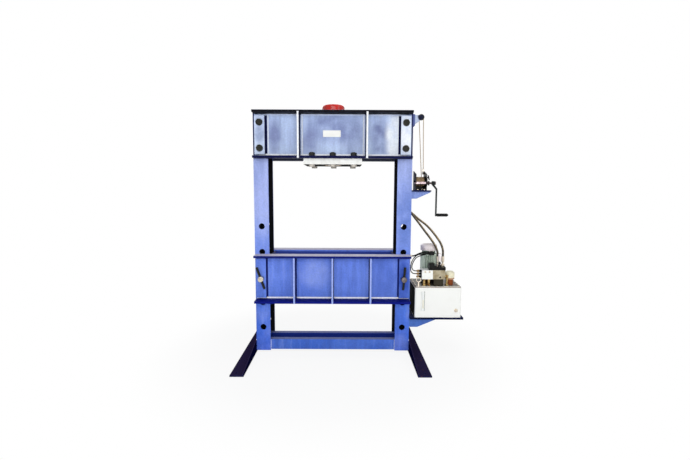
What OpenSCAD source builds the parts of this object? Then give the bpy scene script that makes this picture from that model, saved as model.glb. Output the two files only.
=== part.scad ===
// Hydraulic H-frame workshop press with a side power pack and a bed winch.
// Millimetres. The floor is Z = 0, +X is the side of the power pack, -Y is the operator's side.

/* [Uprights] */
// Width over the outer faces of the two uprights
frame_w = 1300; // [1150:10:1500]
// Width of an upright, seen from the front
upright_w = 120; // [110:1:140]
// Depth of an upright, front to back
upright_d = 230; // [214:1:250]
// Plate thickness of the uprights
upright_wall = 12; // [8:1:14]
// Height of an upright's lower end above the floor
upright_lift = 15; // [5:1:25]
// Height of the head's top face above the floor
head_top = 2008; // [1950:1:2100]
// How far the uprights end below the head's top face
upright_drop = 4; // [2:1:20]
// Height of the lowest pin hole
hole_low = 220; // [200:1:240]
// Distance between pin holes
hole_pitch = 215; // [200:1:220]
// Number of pin holes in each upright
hole_count = 5; // [4:1:5]
// Diameter of the pin holes in the uprights
hole_d = 50; // [49:0.5:56]

/* [Head and bed beams] */
// How far the head beams' ends lie inside the frame's sides
head_in = 15; // [5:1:30]
// Height of the head beams
head_h = 372; // [340:1:390]
// How far the bed beams' ends lie inside the frame's sides
bed_in = 10; // [1:1:30]
// Height of the bed beams
bed_h = 395; // [370:1:410]
// Height of the bed pin above the bed's underside
bed_pin_up = 195; // [180:1:205]
// Number of pin holes from the lowest up to the one that carries the bed
bed_hole_count = 3; // [2:1:5]
// Depth of the beams from web back to flange edge
beam_d = 117; // [90:1:130]
// Thickness of the beam webs
web_t = 12; // [8:1:16]
// Thickness of the beam flanges
flange_t = 18; // [12:1:22]
// Thickness of the stiffening ribs
rib_t = 14; // [10:1:18]
// How far the ribs stand proud of the flange edges
rib_nose = 3; // [1:0.5:6]
// Distance of the head ribs from the middle
head_rib_x = 273; // [255:1:300]
// Distance between the bed ribs
bed_rib_pitch = 312; // [280:1:340]
// Width of the end pads
pad_w = 82; // [76:1:94]
// Distance of the end pads from the beam's ends
pad_in = 6; // [2:1:10]
// Thickness of the end pads
pad_t = 36; // [20:1:44]
// Gap between an end pad and the flanges
pad_gap = 14; // [4:1:20]
// Thickness of the plates that tie the two bed beams
bed_tie_t = 12; // [8:1:16]
// Gap between a bed tie plate and the upright
bed_tie_gap = 9; // [4:1:14]
// Height of the lower ties between the uprights
tie_h = 88; // [70:1:110]
// Depth of the lower ties
tie_d = 50; // [40:1:60]
// Plate thickness of the lower ties
tie_t = 8; // [5:1:10]

/* [Feet] */
// Length of the feet, front to back
foot_len = 1184; // [900:2:1300]
// Leg width of the angle-iron feet
foot_leg = 105; // [90:1:120]
// Thickness of the angle iron
foot_t = 10; // [8:1:12]
// Height of the upstand at the foot's tips
foot_tip_h = 20; // [14:1:40]
// Diameter of the floor anchor holes
anchor_d = 18; // [12:1:22]
// Distance of the anchor holes from the foot's ends
anchor_end = 50; // [30:1:120]
// Distance of the anchor holes from the upright's outer face
anchor_out = 60; // [40:1:70]

/* [Bolts and pins] */
// Thread diameter of the head bolts
bolt_d = 30; // [24:1:36]
// Width across flats of the head bolts
bolt_af = 46; // [40:1:55]
// Height of the lower head bolts above the head's underside
bolt_low = 81; // [70:1:100]
// Height of the upper head bolts above the head's underside
bolt_high = 285; // [270:1:300]
// Clearance of bolts in their holes, on the radius
bolt_fit = 0.5; // [0.3:0.1:0.9]
// Diameter of the bed pins
pin_d = 46; // [40:0.5:47]
// Clearance of the bed pins in the bed pads, on the radius
pin_fit = 0.3; // [0.1:0.05:0.6]
// How far a bed pin stands out of its pad at the front
pin_out = 46; // [40:1:60]
// Diameter of the cross bars of the bed pins
bar_d = 20; // [12:1:22]
// Length of the cross bars
bar_len = 190; // [150:5:220]
// Distance of a cross bar's axis from the pin's front end
bar_in = 20; // [16:1:24]

/* [Cylinder] */
// Length of the white cylinder plate
plate_len = 470; // [440:5:500]
// Depth of the cylinder plate
plate_d = 360; // [350:5:380]
// Thickness of the cylinder plate
plate_t = 48; // [40:1:56]
// Distance between the plate bolts
plate_bolt_pitch = 169; // [150:1:180]
// Distance of the plate bolts in front of the web's back
plate_bolt_out = 40; // [38:1:46]
// Thread diameter of the plate bolts
plate_bolt_d = 28; // [18:1:28]
// Outside diameter of the cylinder barrel
barrel_d = 190; // [180:1:200]
// Bore of the cylinder
bore_d = 140; // [130:1:150]
// Diameter of the ram
ram_d = 110; // [100:1:118]
// How far the barrel reaches above the head's top face
barrel_up = 22; // [10:1:40]
// Thickness of the red cylinder cap
cap_t = 50; // [40:1:60]
// Corner radius of the cap
cap_r = 20; // [4:1:24]
// Depth of the cap's spigot in the barrel
cap_spigot = 12; // [6:1:16]
// Height of the piston
piston_h = 56; // [50:1:64]
// Length of the gland bush above the cylinder plate
gland_up = 40; // [30:1:50]
// Thickness of the ram's pressing nose
nose_t = 30; // [20:1:40]
// Sliding clearance of ram and piston, on the radius
ram_fit = 0.05; // [0.02:0.01:0.1]

/* [Winch] */
// Height of the winch shelf above the floor
shelf_z = 1384; // [1360:1:1400]
// Distance of the winch's inner side plate from the upright
winch_gap = 30; // [24:1:40]
// Distance between the outer faces of the winch side plates
winch_w = 91; // [80:1:98]
// Thickness of the winch side plates
winch_t = 4; // [3:0.5:6]
// Depth of the winch side plates
winch_d = 138; // [134:1:150]
// Height of the winch side plates at the back
winch_h = 160; // [155:1:180]
// Distance of the drum's axis from the back edge of the side plates
drum_in = 55; // [53:1:60]
// Height of the drum's axis above the shelf
drum_up = 68; // [66:1:74]
// Diameter of the drum's flanges
drum_flange_d = 92; // [86:1:94]
// Diameter of the drum's barrel
drum_d = 48; // [40:1:56]
// Outside diameter of the wound rope
coil_d = 80; // [76:1:84]
// Tooth module of the winch gears
gear_m = 2; // [1.9:0.05:2.1]
// Face width of the gears
gear_w = 9; // [6:1:10]
// Length of the crank arm from shaft to grip
crank_len = 263; // [200:1:280]
// How far the crank arm steps outwards
crank_step = 28; // [24:1:50]
// Length of the crank grip
grip_len = 92; // [80:1:120]
// Diameter of the crank grip
grip_d = 26; // [20:1:30]
// Diameter of the wire rope
rope_d = 6; // [5:1:7]
// Pitch diameter of the rope on the sheave
sheave_pitch_d = 36; // [32:1:38]
// Outside diameter of the sheave
sheave_d = 50; // [46:1:52]
// Width of the sheave
sheave_w = 12; // [11:1:14]
// Distance of the sheave's axis from the upright
sheave_out = 80; // [70:1:90]
// Distance of the sheave's axis below the head's top face
sheave_drop = 22; // [20:1:40]

/* [Power pack] */
// Gap between the upright and the oil tank
tank_gap = 37; // [35:1:45]
// Width of the oil tank
tank_w = 390; // [384:1:420]
// Depth of the oil tank
tank_d = 320; // [316:1:340]
// Height of the oil tank
tank_h = 254; // [240:1:270]
// Wall of the oil tank
tank_wall = 3; // [2:0.5:5]
// Corner radius of the oil tank
tank_r = 14; // [8:1:20]
// Height of the tank shelf's top above the floor
tank_z = 322; // [312:1:330]
// Thickness of the tank shelf
tank_shelf_t = 16; // [10:1:20]
// How far the tank shelf reaches past the tank
tank_shelf_over = 20; // [10:1:30]
// Thickness of the tank lid
lid_t = 8; // [6:1:12]
// Inset of the lid's edge from the tank wall
lid_in = 5; // [2:1:8]
// Diameter of the motor over its fins
motor_d = 142; // [136:1:150]
// Height of the motor's finned body
motor_h = 148; // [144:1:152]
// Number of cooling fins
fin_count = 24; // [16:4:36]
// Thickness of a cooling fin
fin_t = 5; // [3:0.5:6]
// Height of the motor's upper end shield
shield_h = 30; // [30:1:36]
// Height of the fan cowl
cowl_h = 50; // [40:1:60]
// Height of the bell housing under the motor
bell_h = 106; // [102:1:110]
// Width of the steel manifold
manifold_w = 103; // [100:1:108]
// Height of the manifold and the check block
manifold_h = 76; // [72:1:80]
// Depth of the manifold and the check block
manifold_d = 90; // [86:1:94]
// Width of the white check block
check_w = 90; // [86:1:96]
// Height of the lid-to-manifold stand
stand_h = 62; // [58:1:66]
// Height of the directional valve body
valve_h = 24; // [20:1:28]
// Length of the hose end fittings
fitting_len = 84; // [80:1:90]
// Diameter of the hydraulic hoses
hose_d = 18; // [16:1:20]
// Diameter of the valve lever's grip
lever_grip_d = 28; // [20:1:30]
// Diameter of the filler cap
filler_d = 78; // [70:1:84]

/* [Hidden] */
$fn = 64;

paint = "royalblue";
dark = [0.12, 0.12, 0.13];
steel = "silver";
zinc = [0.82, 0.80, 0.72];

half_w = frame_w / 2;
head_len = frame_w - 2 * head_in;
bed_len = frame_w - 2 * bed_in;
web_back = upright_d / 2;
upright_top = head_top - upright_drop;
upright_x = half_w - upright_w / 2;
head_bottom = head_top - head_h;
pin_z = hole_low + hole_pitch * (bed_hole_count - 1);
bed_bottom = pin_z - bed_pin_up;
pad_face = web_back + web_t + pad_t;
head_bolt_x = head_len / 2 - pad_in - pad_w / 2;
washer_t = 4;
nut_h = 24;
bolt_hole_d = bolt_d + 2 * bolt_fit;
pin_back = pad_face + 10;
pin_front = pad_face + pin_out;
plate_top = head_bottom;
plate_bottom = plate_top - plate_t;
plate_bolt_y = web_back + plate_bolt_out;
plate_bolt_af = 1.5 * plate_bolt_d;
barrel_top = head_top + barrel_up;
piston_top = barrel_top - cap_spigot - 3;
gland_top = plate_top + gland_up;
port_y = 25;
port_boss_d = 40;
port_face_x = barrel_d / 2 + 5;
port_high_z = piston_top - 35;
port_low_z = gland_top + 30;

winch_x = half_w + winch_gap;
winch_back = 10;
winch_front = winch_back - winch_d;
drum_y = winch_back - drum_in;
drum_z = shelf_z + winch_t + drum_up;
shaft_drop = 13;
gear_teeth = 48;
pinion_teeth = 12;
gear_r = gear_m * gear_teeth / 2;
pinion_r = gear_m * pinion_teeth / 2;
centre_dist = gear_r + pinion_r;
shaft_z = drum_z - shaft_drop;
shaft_y = drum_y - sqrt(centre_dist * centre_dist - shaft_drop * shaft_drop);
mesh_angle = atan2(shaft_z - drum_z, shaft_y - drum_y);
gear_gap = 3;
gear_x = winch_x + winch_w + gear_gap;
ratchet_x = gear_x + gear_w + 4;
ratchet_w = 7;
ratchet_r = 20;
ratchet_phase = 29.5;
hub_gap = 22;
hub_x = ratchet_x + ratchet_w + hub_gap;
hub_w = 22;
shaft_d = 16;
shaft_sleeve_d = 24;
run_fit = 0.05;
seat_fit = 0.02;
shelf_out = 37;
shelf_len = winch_gap + winch_w + shelf_out;
shelf_t = 10;

sheave_x = half_w + sheave_out;
sheave_y = -30;
sheave_z = head_top - sheave_drop;
axle_d = 12;
cheek_t = 6;
cheek_gap = 0.4;

tank_x = half_w + tank_gap;
tank_top = tank_z + tank_h;
lid_top = tank_top + lid_t;
motor_x = tank_x + 145;
motor_y = 30;
motor_z = lid_top + bell_h;
motor_top = motor_z + motor_h;
core_d = motor_d - 26;
block_in = 10;
block_front = block_in - tank_d / 2;
check_x = tank_x + 58;
manifold_x = check_x + check_w;
block_z = lid_top + stand_h;
block_top = block_z + manifold_h;
valve_x = manifold_x + 13;
valve_w = 94;
valve_top = block_top + valve_h;
lever_x = valve_x + 45;
lever_y = block_front + 22;
lever_pivot_z = valve_top + 10;
hose_y = block_front + 68;
hose_xs = [lever_x - 8, lever_x + 37];
hose_z = valve_top + fitting_len;
knob_x = manifold_x - 10;
knob_z = block_top + 36;
filler_in = 80;
filler_x = tank_x + tank_w - filler_in;
filler_y = block_front + 90;
neck_h = 46;
neck_d = 60;
neck_wall = 5;
filler_h = 68;
gauge_x = tank_x + 68;
gauge_z = tank_z + 61;
gauge_w = 26;
eye_bolt_x = tank_x + 31;
eye_bolt_y = block_front + 10;
pump_shaft_d = 24;
shelf_edge = 5;
box_x = motor_x - 18;
box_y = -88;
box_z = motor_top + 0.5;
box_h = shield_h - 1;
switch_len = 40;
switch_zs = [block_z + 14, block_z + 38, block_z + 62];
switch_y = block_front + 45;
hose_hole_z = 1203;
hose_hole_d = 100;
gland_y = -40;
gland_z = 825;
gland_len = 26;
supply_d = 12;
lead_d = 8;

// Routes of the flexible lines. Each starts at its fitting and ends at what it goes into
function from(place, steps) = [for (step = steps) place + step];
hose_extend_points = concat(
    from([hose_xs[0], hose_y, hose_z], [
        [0, 0, 0], [0, 0, 20], [-3, 2, 42], [-13, 7, 70], [-31, 15, 106], [-62, 28, 152],
        [-104, 40, 207], [-151, 49, 270]]),
    from([half_w, -port_y, hose_hole_z], [
        [40, 0, -46], [2, 0, 4], [-26, 0, 44], [-45, 0, 86], [-55, 0, 132], [-58, 0, 184],
        [-58, 0, 250], [-58, 0, 330], [-58, 0, 410], [-58, 0, 500]]),
    from([half_w, -port_y, port_high_z], [[-58, 0, -180], [-61, 0, -126], [-74, 0, -78], [-100, 0, -40],
        [-138, 0, -15], [-184, 0, -4], [-234, 0, 0]]),
    from([port_face_x + fitting_len, -port_y, port_high_z], [
        [166, 0, 0], [100, 0, 0], [40, 0, 0], [0, 0, 0]])
);
hose_retract_points = concat(
    from([hose_xs[1], hose_y, hose_z], [
        [0, 0, 0], [0, 0, 20], [0, 3, 44], [-6, 10, 76], [-21, 22, 114], [-50, 40, 160], [-91, 58, 213],
        [-135, 74, 259], [-193, 92, 304]]),
    from([half_w, port_y, hose_hole_z], [
        [34, -1, -22], [-2, 0, 8], [-28, 0, 42], [-46, 0, 86], [-55, 0, 132], [-58, 0, 184], [-58, 0, 240]]),
    from([half_w, port_y, port_low_z], [[-58, 0, -200], [-61, 0, -144], [-73, 0, -94], [-98, 0, -52],
        [-134, 0, -22], [-178, 0, -6], [-226, 0, 0]]),
    from([port_face_x + fitting_len, port_y, port_low_z], [
        [186, 0, 0], [126, 0, 0], [66, 0, 0], [0, 0, 0]])
);
supply_points = concat(
    from([half_w + gland_len, gland_y, gland_z], [
        [0, 0, 0], [14, 0, 0], [32, -4, 7], [52, -12, 19], [74, -21, 29]]),
    from([box_x, box_y + 14, box_z + 21.5], [[-42, 6, 0], [-20, 0, 0], [0, 0, 0]])
);
lead_front_points = concat(
    from([check_x - switch_len, switch_y, switch_zs[2]], [
        [0, 0, 0], [-8, 0, 0], [-20, -1, 2.4], [-30.5, -3, 9.4], [-37.5, -5, 20], [-40, -7, 32],
        [-38.5, -8, 50], [-32, -7, 70], [-20, -4, 92], [-3, 0, 112]]),
    from([box_x, box_y + 6, box_z + 7.5], [
        [-84, -18, -12], [-56, -12, -4], [-28, -4, 0], [-12, 0, 0], [0, 0, 0]])
);
lead_back_points = concat(
    from([check_x - switch_len, switch_y, switch_zs[1]], [
        [0, 0, 0], [-13, 0, 0], [-27, -0.5, 2.7], [-38.5, -1, 10.5], [-46.3, -1.5, 22], [-49, -1, 36],
        [-49, 1, 56], [-46, 4, 78], [-39, 8, 100], [-27, 13, 122], [-10, 19, 141]]),
    from([box_x, box_y + 24, box_z + 7.5], [
        [-96, -10, -8], [-66, -4, -2], [-36, 0, 0], [-14, 0, 0], [0, 0, 0]])
);

// Helpers

function unit(v) = v / norm(v);

// Directions along a line of points, taken across each point's neighbours
function headings(p) = [for (i = [0 : len(p) - 1])
    unit(p[min(i + 1, len(p) - 1)] - p[max(i - 1, 0)])];

// Ring of points round one point of a line
function ring(c, t, r, sides) =
    let (u = unit(cross(t, [0, 1, 0])), v = cross(u, t))
    [for (k = [0 : sides - 1]) c + r * (cos(360 * k / sides) * u + sin(360 * k / sides) * v)];

// Tube of one diameter along a line of points
module tube(points, d, sides = 10) {
    t = headings(points);
    n = len(points);
    rings = [for (i = [0 : n - 1]) each ring(points[i], t[i], d / 2, sides)];
    walls = [for (i = [0 : n - 2], k = [0 : sides - 1])
        let (a = i * sides + k, b = i * sides + (k + 1) % sides)
        each [[a, b, b + sides], [a, b + sides, a + sides]]];
    start = [for (k = [sides - 1 : -1 : 0]) k];
    end = [for (k = [0 : sides - 1]) (n - 1) * sides + k];
    polyhedron(points = rings, faces = concat(walls, [start, end]));
}

// Lays a shape drawn upwards along +Z onto +X, -Y
module along_x() { rotate([0, 90, 0]) children(); }
module along_front() { rotate([90, 0, 0]) children(); }

// Turns a flat outline drawn in Y and Z into a plate along +X
module plate_x(t) { rotate([90, 0, 90]) linear_extrude(t) children(); }

// Turns a flat outline drawn in X and Z into a plate along -Y
module plate_y(t) { rotate([90, 0, 0]) linear_extrude(t) children(); }

module hex(af, h) { cylinder(d = af / cos(30), h = h, $fn = 6); }

module ring_round(outer, inner, h) {
    difference() {
        cylinder(d = outer, h = h);
        translate([0, 0, -1]) cylinder(d = inner, h = h + 2);
    }
}

// Box with round upright corners
module soft_box(size, r) {
    translate([r, 0, 0]) cube([size.x - 2 * r, size.y, size.z]);
    translate([0, r, 0]) cube([size.x, size.y - 2 * r, size.z]);
    for (x = [r, size.x - r], y = [r, size.y - r]) translate([x, y, 0]) cylinder(r = r, h = size.z);
}

module both_sides() {
    for (s = [0, 1]) mirror([s, 0, 0]) children();
}

module front_and_back() {
    for (s = [0, 1]) mirror([0, s, 0]) children();
}

// Spur gear outline with plain tapered teeth, one tooth centred on the phase angle
module gear_outline(m, teeth, phase) {
    pitch_r = m * teeth / 2;
    root_r = pitch_r - 1.2 * m;
    tip_r = pitch_r + 0.8 * m;
    step = 360 / teeth;
    polygon([for (i = [0 : teeth - 1], c = [[root_r, -0.3], [tip_r, -0.11], [tip_r, 0.11], [root_r, 0.3]])
        let (a = phase + step * (i + c[1])) c[0] * [cos(a), sin(a)]]);
}

// Frame

// One welded beam: web, flanges, ribs and end pads. The web's back is at Y = 0, the floor of it at Z = 0
module beam(length, h, ribs, rib_top) {
    translate([-length / 2, -web_t, 0]) cube([length, web_t, h]);
    for (z = [0, h - flange_t]) translate([-length / 2, -beam_d, z]) cube([length, beam_d, flange_t]);
    for (x = ribs) translate([x - rib_t / 2, -beam_d - rib_nose, 0])
        cube([rib_t, beam_d + rib_nose, rib_top]);
    both_sides() translate([length / 2 - pad_w - pad_in, -web_t - pad_t, flange_t + pad_gap])
        cube([pad_w, web_t + pad_t, h - 2 * flange_t - 2 * pad_gap]);
}

module head_beam() {
    difference() {
        translate([0, -web_back, head_bottom]) beam(head_len, head_h, [-head_rib_x, head_rib_x], head_h);
        both_sides() for (z = [bolt_low, bolt_high]) translate([head_bolt_x, 0, head_bottom + z])
            along_front() cylinder(d = bolt_hole_d, h = pad_face + 1);
        for (i = [-1 : 1]) translate([i * plate_bolt_pitch, -plate_bolt_y, head_bottom - 1])
            cylinder(d = plate_bolt_d + 2 * bolt_fit, h = flange_t + 2);
    }
}

module bed_beam() {
    difference() {
        translate([0, -web_back, bed_bottom])
            beam(bed_len, bed_h, [-bed_rib_pitch, 0, bed_rib_pitch], bed_h - flange_t);
        both_sides() translate([upright_x, 0, pin_z]) along_front()
            cylinder(d = pin_d + 2 * pin_fit, h = pad_face + 1);
    }
}

module head_front_beam() { color(paint) head_beam(); }
module head_rear_beam() { color(paint) mirror([0, 1, 0]) head_beam(); }
module bed_front_beam() { color(paint) bed_beam(); }
module bed_rear_beam() { color(paint) mirror([0, 1, 0]) bed_beam(); }

// Channel with its web outwards, drilled for the bed pins and the head bolts
module upright() {
    height = upright_top - upright_lift;
    difference() {
        translate([half_w - upright_w, -web_back, upright_lift]) difference() {
            cube([upright_w, upright_d, height]);
            translate([-1, upright_wall, -1])
                cube([upright_w - upright_wall + 1, upright_d - 2 * upright_wall, height + 2]);
        }
        for (i = [0 : hole_count - 1]) translate([upright_x, web_back + 1, hole_low + i * hole_pitch])
            along_front() cylinder(d = hole_d, h = upright_d + 2);
        for (z = [bolt_low, bolt_high]) translate([head_bolt_x, web_back + 1, head_bottom + z])
            along_front() cylinder(d = bolt_hole_d, h = upright_d + 2);
    }
}

module left_upright() { color(paint) mirror([1, 0, 0]) upright(); }

module right_upright() {
    color(paint) difference() {
        upright();
        translate([half_w - upright_wall - 1, 0, hose_hole_z]) along_x()
            cylinder(d = hose_hole_d, h = upright_wall + 2);
    }
}

module head_bolt() {
    head_h = 0.63 * bolt_d;
    inner = web_back - upright_wall;
    translate([0, -pad_face, 0]) along_front() {
        cylinder(d = 1.2 * bolt_af, h = washer_t);
        translate([0, 0, washer_t]) hex(bolt_af, head_h);
    }
    translate([0, -inner + washer_t + nut_h + 5, 0]) along_front()
        cylinder(d = bolt_d, h = pad_face - inner + washer_t + nut_h + 6);
    translate([0, -inner + washer_t, 0]) along_front() cylinder(d = 1.2 * bolt_af, h = washer_t);
    translate([0, -inner + washer_t + nut_h, 0]) along_front() hex(bolt_af, nut_h);
}

module head_bolts() {
    both_sides() front_and_back() for (z = [bolt_low, bolt_high])
        translate([head_bolt_x, 0, head_bottom + z]) head_bolt();
}

bed_tie_low = 60;
bed_tie_high = 10;
module bed_ties() {
    color(paint) both_sides()
        translate([half_w - upright_w - bed_tie_gap - bed_tie_t, -web_back, bed_bottom + bed_tie_low])
            cube([bed_tie_t, upright_d, bed_h - bed_tie_low - bed_tie_high]);
}

module lower_ties() {
    length = frame_w - 2 * upright_wall;
    color(paint) front_and_back()
        translate([-length / 2, -web_back + upright_wall, upright_lift + 5]) difference() {
            cube([length, tie_d, tie_h]);
            translate([-1, tie_t, tie_t]) cube([length + 2, tie_d, tie_h - 2 * tie_t]);
        }
}

// Angle iron, its upstand cut down to a low tip at both ends
module foot() {
    difference() {
        union() {
            translate([half_w, -foot_len / 2, 0]) cube([foot_leg, foot_len, foot_t]);
            translate([half_w, 0, 0]) plate_x(foot_t) polygon([
                [-foot_len / 2, 0], [foot_len / 2, 0], [foot_len / 2, foot_tip_h],
                [web_back, foot_leg], [-web_back, foot_leg], [-foot_len / 2, foot_tip_h]]);
        }
        for (s = [-1, 1]) translate([half_w + anchor_out, s * (foot_len / 2 - anchor_end), -1])
            cylinder(d = anchor_d, h = foot_t + 2);
    }
}

module left_foot() { color(paint) mirror([1, 0, 0]) foot(); }
module right_foot() { color(paint) foot(); }

// Bed pins with loose cross bars

module bed_pin(tilt) {
    difference() {
        translate([0, pin_back, 0]) along_front() {
            cylinder(d1 = pin_d - 8, d2 = pin_d, h = 8);
            translate([0, 0, 8]) cylinder(d = pin_d, h = pin_front + pin_back - 11);
            translate([0, 0, pin_front + pin_back - 3]) cylinder(d1 = pin_d, d2 = pin_d - 6, h = 3);
        }
        translate([0, bar_in - pin_front, 0]) rotate([0, tilt, 0])
            cylinder(d = bar_d + 0.2, h = pin_d + 2, center = true);
    }
}

module pin_bar(tilt) {
    end_r = 2;
    translate([0, bar_in - pin_front, 0]) rotate([0, tilt, 0]) translate([0, 0, 8 - bar_len / 2]) {
        cylinder(d1 = bar_d - 2 * end_r, d2 = bar_d, h = end_r);
        translate([0, 0, end_r]) cylinder(d = bar_d, h = bar_len - 2 * end_r);
        translate([0, 0, bar_len - end_r]) cylinder(d1 = bar_d, d2 = bar_d - 2 * end_r, h = end_r);
    }
}

left_tilt = -19.5;
right_tilt = 4;
module left_pin() { color(steel) translate([-upright_x, 0, pin_z]) bed_pin(left_tilt); }
module left_pin_bar() { color(dark) translate([-upright_x, 0, pin_z]) pin_bar(left_tilt); }
module right_pin() { color(steel) translate([upright_x, 0, pin_z]) bed_pin(right_tilt); }
module right_pin_bar() { color(dark) translate([upright_x, 0, pin_z]) pin_bar(right_tilt); }

// Cylinder and ram

module cylinder_plate() {
    color("white") difference() {
        translate([-plate_len / 2, -plate_d / 2, plate_bottom]) cube([plate_len, plate_d, plate_t]);
        translate([0, 0, plate_bottom - 1]) cylinder(d = bore_d + 2 * ram_fit, h = plate_t + 2);
        for (i = [-1 : 1], s = [-1, 1])
            translate([i * plate_bolt_pitch, s * plate_bolt_y, plate_bottom - 1])
                cylinder(d = plate_bolt_d + 2 * bolt_fit, h = plate_t + 2);
    }
}

module plate_bolt() {
    head_h = 0.63 * plate_bolt_d;
    plate_nut_h = 0.9 * plate_bolt_d;
    translate([0, 0, plate_bottom - head_h]) hex(plate_bolt_af, head_h);
    translate([0, 0, plate_bottom - 1]) cylinder(d = plate_bolt_d, h = plate_t + flange_t + plate_nut_h + 9);
    translate([0, 0, plate_top + flange_t]) {
        cylinder(d = 1.2 * plate_bolt_af, h = washer_t);
        translate([0, 0, washer_t]) hex(plate_bolt_af, plate_nut_h);
    }
}

module plate_bolts() {
    for (i = [-1 : 1], s = [-1, 1])
        translate([i * plate_bolt_pitch, s * plate_bolt_y, 0]) plate_bolt();
}

module frame_bolts() {
    color(dark) {
        head_bolts();
        plate_bolts();
    }
}

module cylinder_barrel() {
    color(paint) difference() {
        union() {
            translate([0, 0, plate_top]) cylinder(d = barrel_d, h = barrel_top - plate_top);
            for (p = [[-port_y, port_high_z], [port_y, port_low_z]])
                translate([0, p.x, p.y]) along_x() cylinder(d = port_boss_d, h = port_face_x);
        }
        translate([0, 0, plate_top - 1]) cylinder(d = bore_d, h = barrel_top - plate_top + 2);
    }
}

module cylinder_cap() {
    r = barrel_d / 2;
    spigot_r = bore_d / 2 - ram_fit;
    color("red") translate([0, 0, barrel_top]) rotate_extrude() {
        square([r - cap_r, cap_t]);
        square([r, cap_t - cap_r]);
        intersection() {
            translate([r - cap_r, cap_t - cap_r]) circle(r = cap_r);
            square([r, cap_t]);
        }
        translate([0, -cap_spigot]) square([spigot_r, cap_spigot + 1]);
    }
}

module gland_bush() {
    color("goldenrod") translate([0, 0, plate_bottom])
        ring_round(bore_d - 2 * ram_fit, ram_d + 2 * ram_fit, gland_top - plate_bottom);
}

spigot_d = 60;
nose_spigot_d = 40;
nose_spigot_h = 24;
module ram() {
    color(steel) difference() {
        union() {
            translate([0, 0, plate_bottom + nose_t])
                cylinder(d = ram_d, h = piston_top - piston_h - plate_bottom - nose_t);
            translate([0, 0, piston_top - piston_h - 1]) cylinder(d = spigot_d, h = piston_h + 1);
        }
        translate([0, 0, plate_bottom + nose_t - 1])
            cylinder(d = nose_spigot_d + 2 * seat_fit, h = nose_spigot_h + 2);
    }
}

seal_h = 8;
seal_in = 6;
module piston() {
    color(steel) translate([0, 0, piston_top - piston_h]) difference() {
        cylinder(d = bore_d - 2 * ram_fit, h = piston_h);
        translate([0, 0, -1]) cylinder(d = spigot_d + 2 * seat_fit, h = piston_h + 2);
        for (z = [12, piston_h - 12 - seal_h]) translate([0, 0, z])
            ring_round(bore_d + 2, bore_d - 2 * seal_in, seal_h);
    }
}

module piston_seals() {
    color(dark) for (z = [12, piston_h - 12 - seal_h]) translate([0, 0, piston_top - piston_h + z])
        ring_round(bore_d - 2 * ram_fit, bore_d - 2 * seal_in + 2 * seat_fit, seal_h);
}

module ram_nose() {
    color(steel) translate([0, 0, plate_bottom]) {
        cylinder(d1 = ram_d - 8, d2 = ram_d, h = 4);
        translate([0, 0, 4]) cylinder(d = ram_d, h = nose_t - 4);
        translate([0, 0, nose_t]) cylinder(d = nose_spigot_d, h = nose_spigot_h);
    }
}

// Sheave, rope and winch

module cheek_outline() {
    r = 16;
    translate([sheave_x, sheave_z]) circle(r = r);
    polygon([[half_w + 7, sheave_z + r], [sheave_x, sheave_z + r], [sheave_x + r / 2, sheave_z - 0.86 * r],
        [half_w + 24, sheave_z - 60], [half_w + 7, sheave_z - 70]]);
}

module sheave_bracket() {
    cheek_y = sheave_w / 2 + cheek_gap;
    mount_t = 22;
    mount_d = 80;
    mount_drop = 74;
    mount_h = 92;
    color(paint) {
        translate([half_w, sheave_y - mount_d / 2, sheave_z - mount_drop]) cube([mount_t, mount_d, mount_h]);
        for (y = [sheave_y - cheek_y, sheave_y + cheek_y + cheek_t])
            translate([0, y, 0]) plate_y(cheek_t) cheek_outline();
        translate([sheave_x, sheave_y + cheek_y + cheek_t, sheave_z]) along_front()
            cylinder(d = axle_d, h = 2 * cheek_y + 2 * cheek_t);
        for (y = [sheave_y - cheek_y - cheek_t, sheave_y + cheek_y + cheek_t + 9])
            translate([sheave_x, y, sheave_z]) along_front() hex(24, 9);
    }
}

module sheave() {
    groove_r = rope_d / 2 + 0.3;
    pitch_r = sheave_pitch_d / 2;
    color(dark) translate([sheave_x, sheave_y, sheave_z]) along_front() rotate_extrude() difference() {
        translate([axle_d / 2 + run_fit, -sheave_w / 2])
            square([sheave_d / 2 - axle_d / 2 - run_fit, sheave_w]);
        translate([pitch_r, 0]) circle(r = groove_r);
        polygon([[pitch_r, -groove_r], [sheave_d / 2 + 1, -groove_r - 1], [sheave_d / 2 + 1, groove_r + 1],
            [pitch_r, groove_r]]);
    }
}

// The rope leaves the back of the drum, runs over the sheave and is parked on the outer side plate
rope_lead_r = coil_d / 2 + rope_d / 2 + 0.4;
rope_drum_x = winch_x + winch_w - 22;
eye_x = winch_x + winch_w - winch_t - 7;
eye_y = winch_back - 16;
eye_z = shelf_z + winch_h - 16;
eye_r = 12;
eye_wire = 5;
ferrule_h = 22;
ferrule_top = eye_z + eye_r + eye_wire / 2 + ferrule_h;
rope_points = concat(
    [for (a = [-75 : 15 : 0]) [rope_drum_x, drum_y + rope_lead_r * cos(a), drum_z + rope_lead_r * sin(a)]],
    [for (f = [0.25, 0.5, 0.75])
        (1 - f) * [rope_drum_x, drum_y + rope_lead_r, drum_z]
        + f * [sheave_x - sheave_pitch_d / 2, sheave_y, sheave_z]],
    [for (a = [180 : -20 : 0])
        [sheave_x + sheave_pitch_d / 2 * cos(a), sheave_y, sheave_z + sheave_pitch_d / 2 * sin(a)]],
    [for (f = [0.25, 0.5, 0.75])
        (1 - f) * [sheave_x + sheave_pitch_d / 2, sheave_y, sheave_z] + f * [eye_x, eye_y, ferrule_top]],
    [for (up = [25, 0]) [eye_x, eye_y, ferrule_top + up]]
);
module wire_rope() { color(zinc) tube(rope_points, rope_d); }

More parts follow.
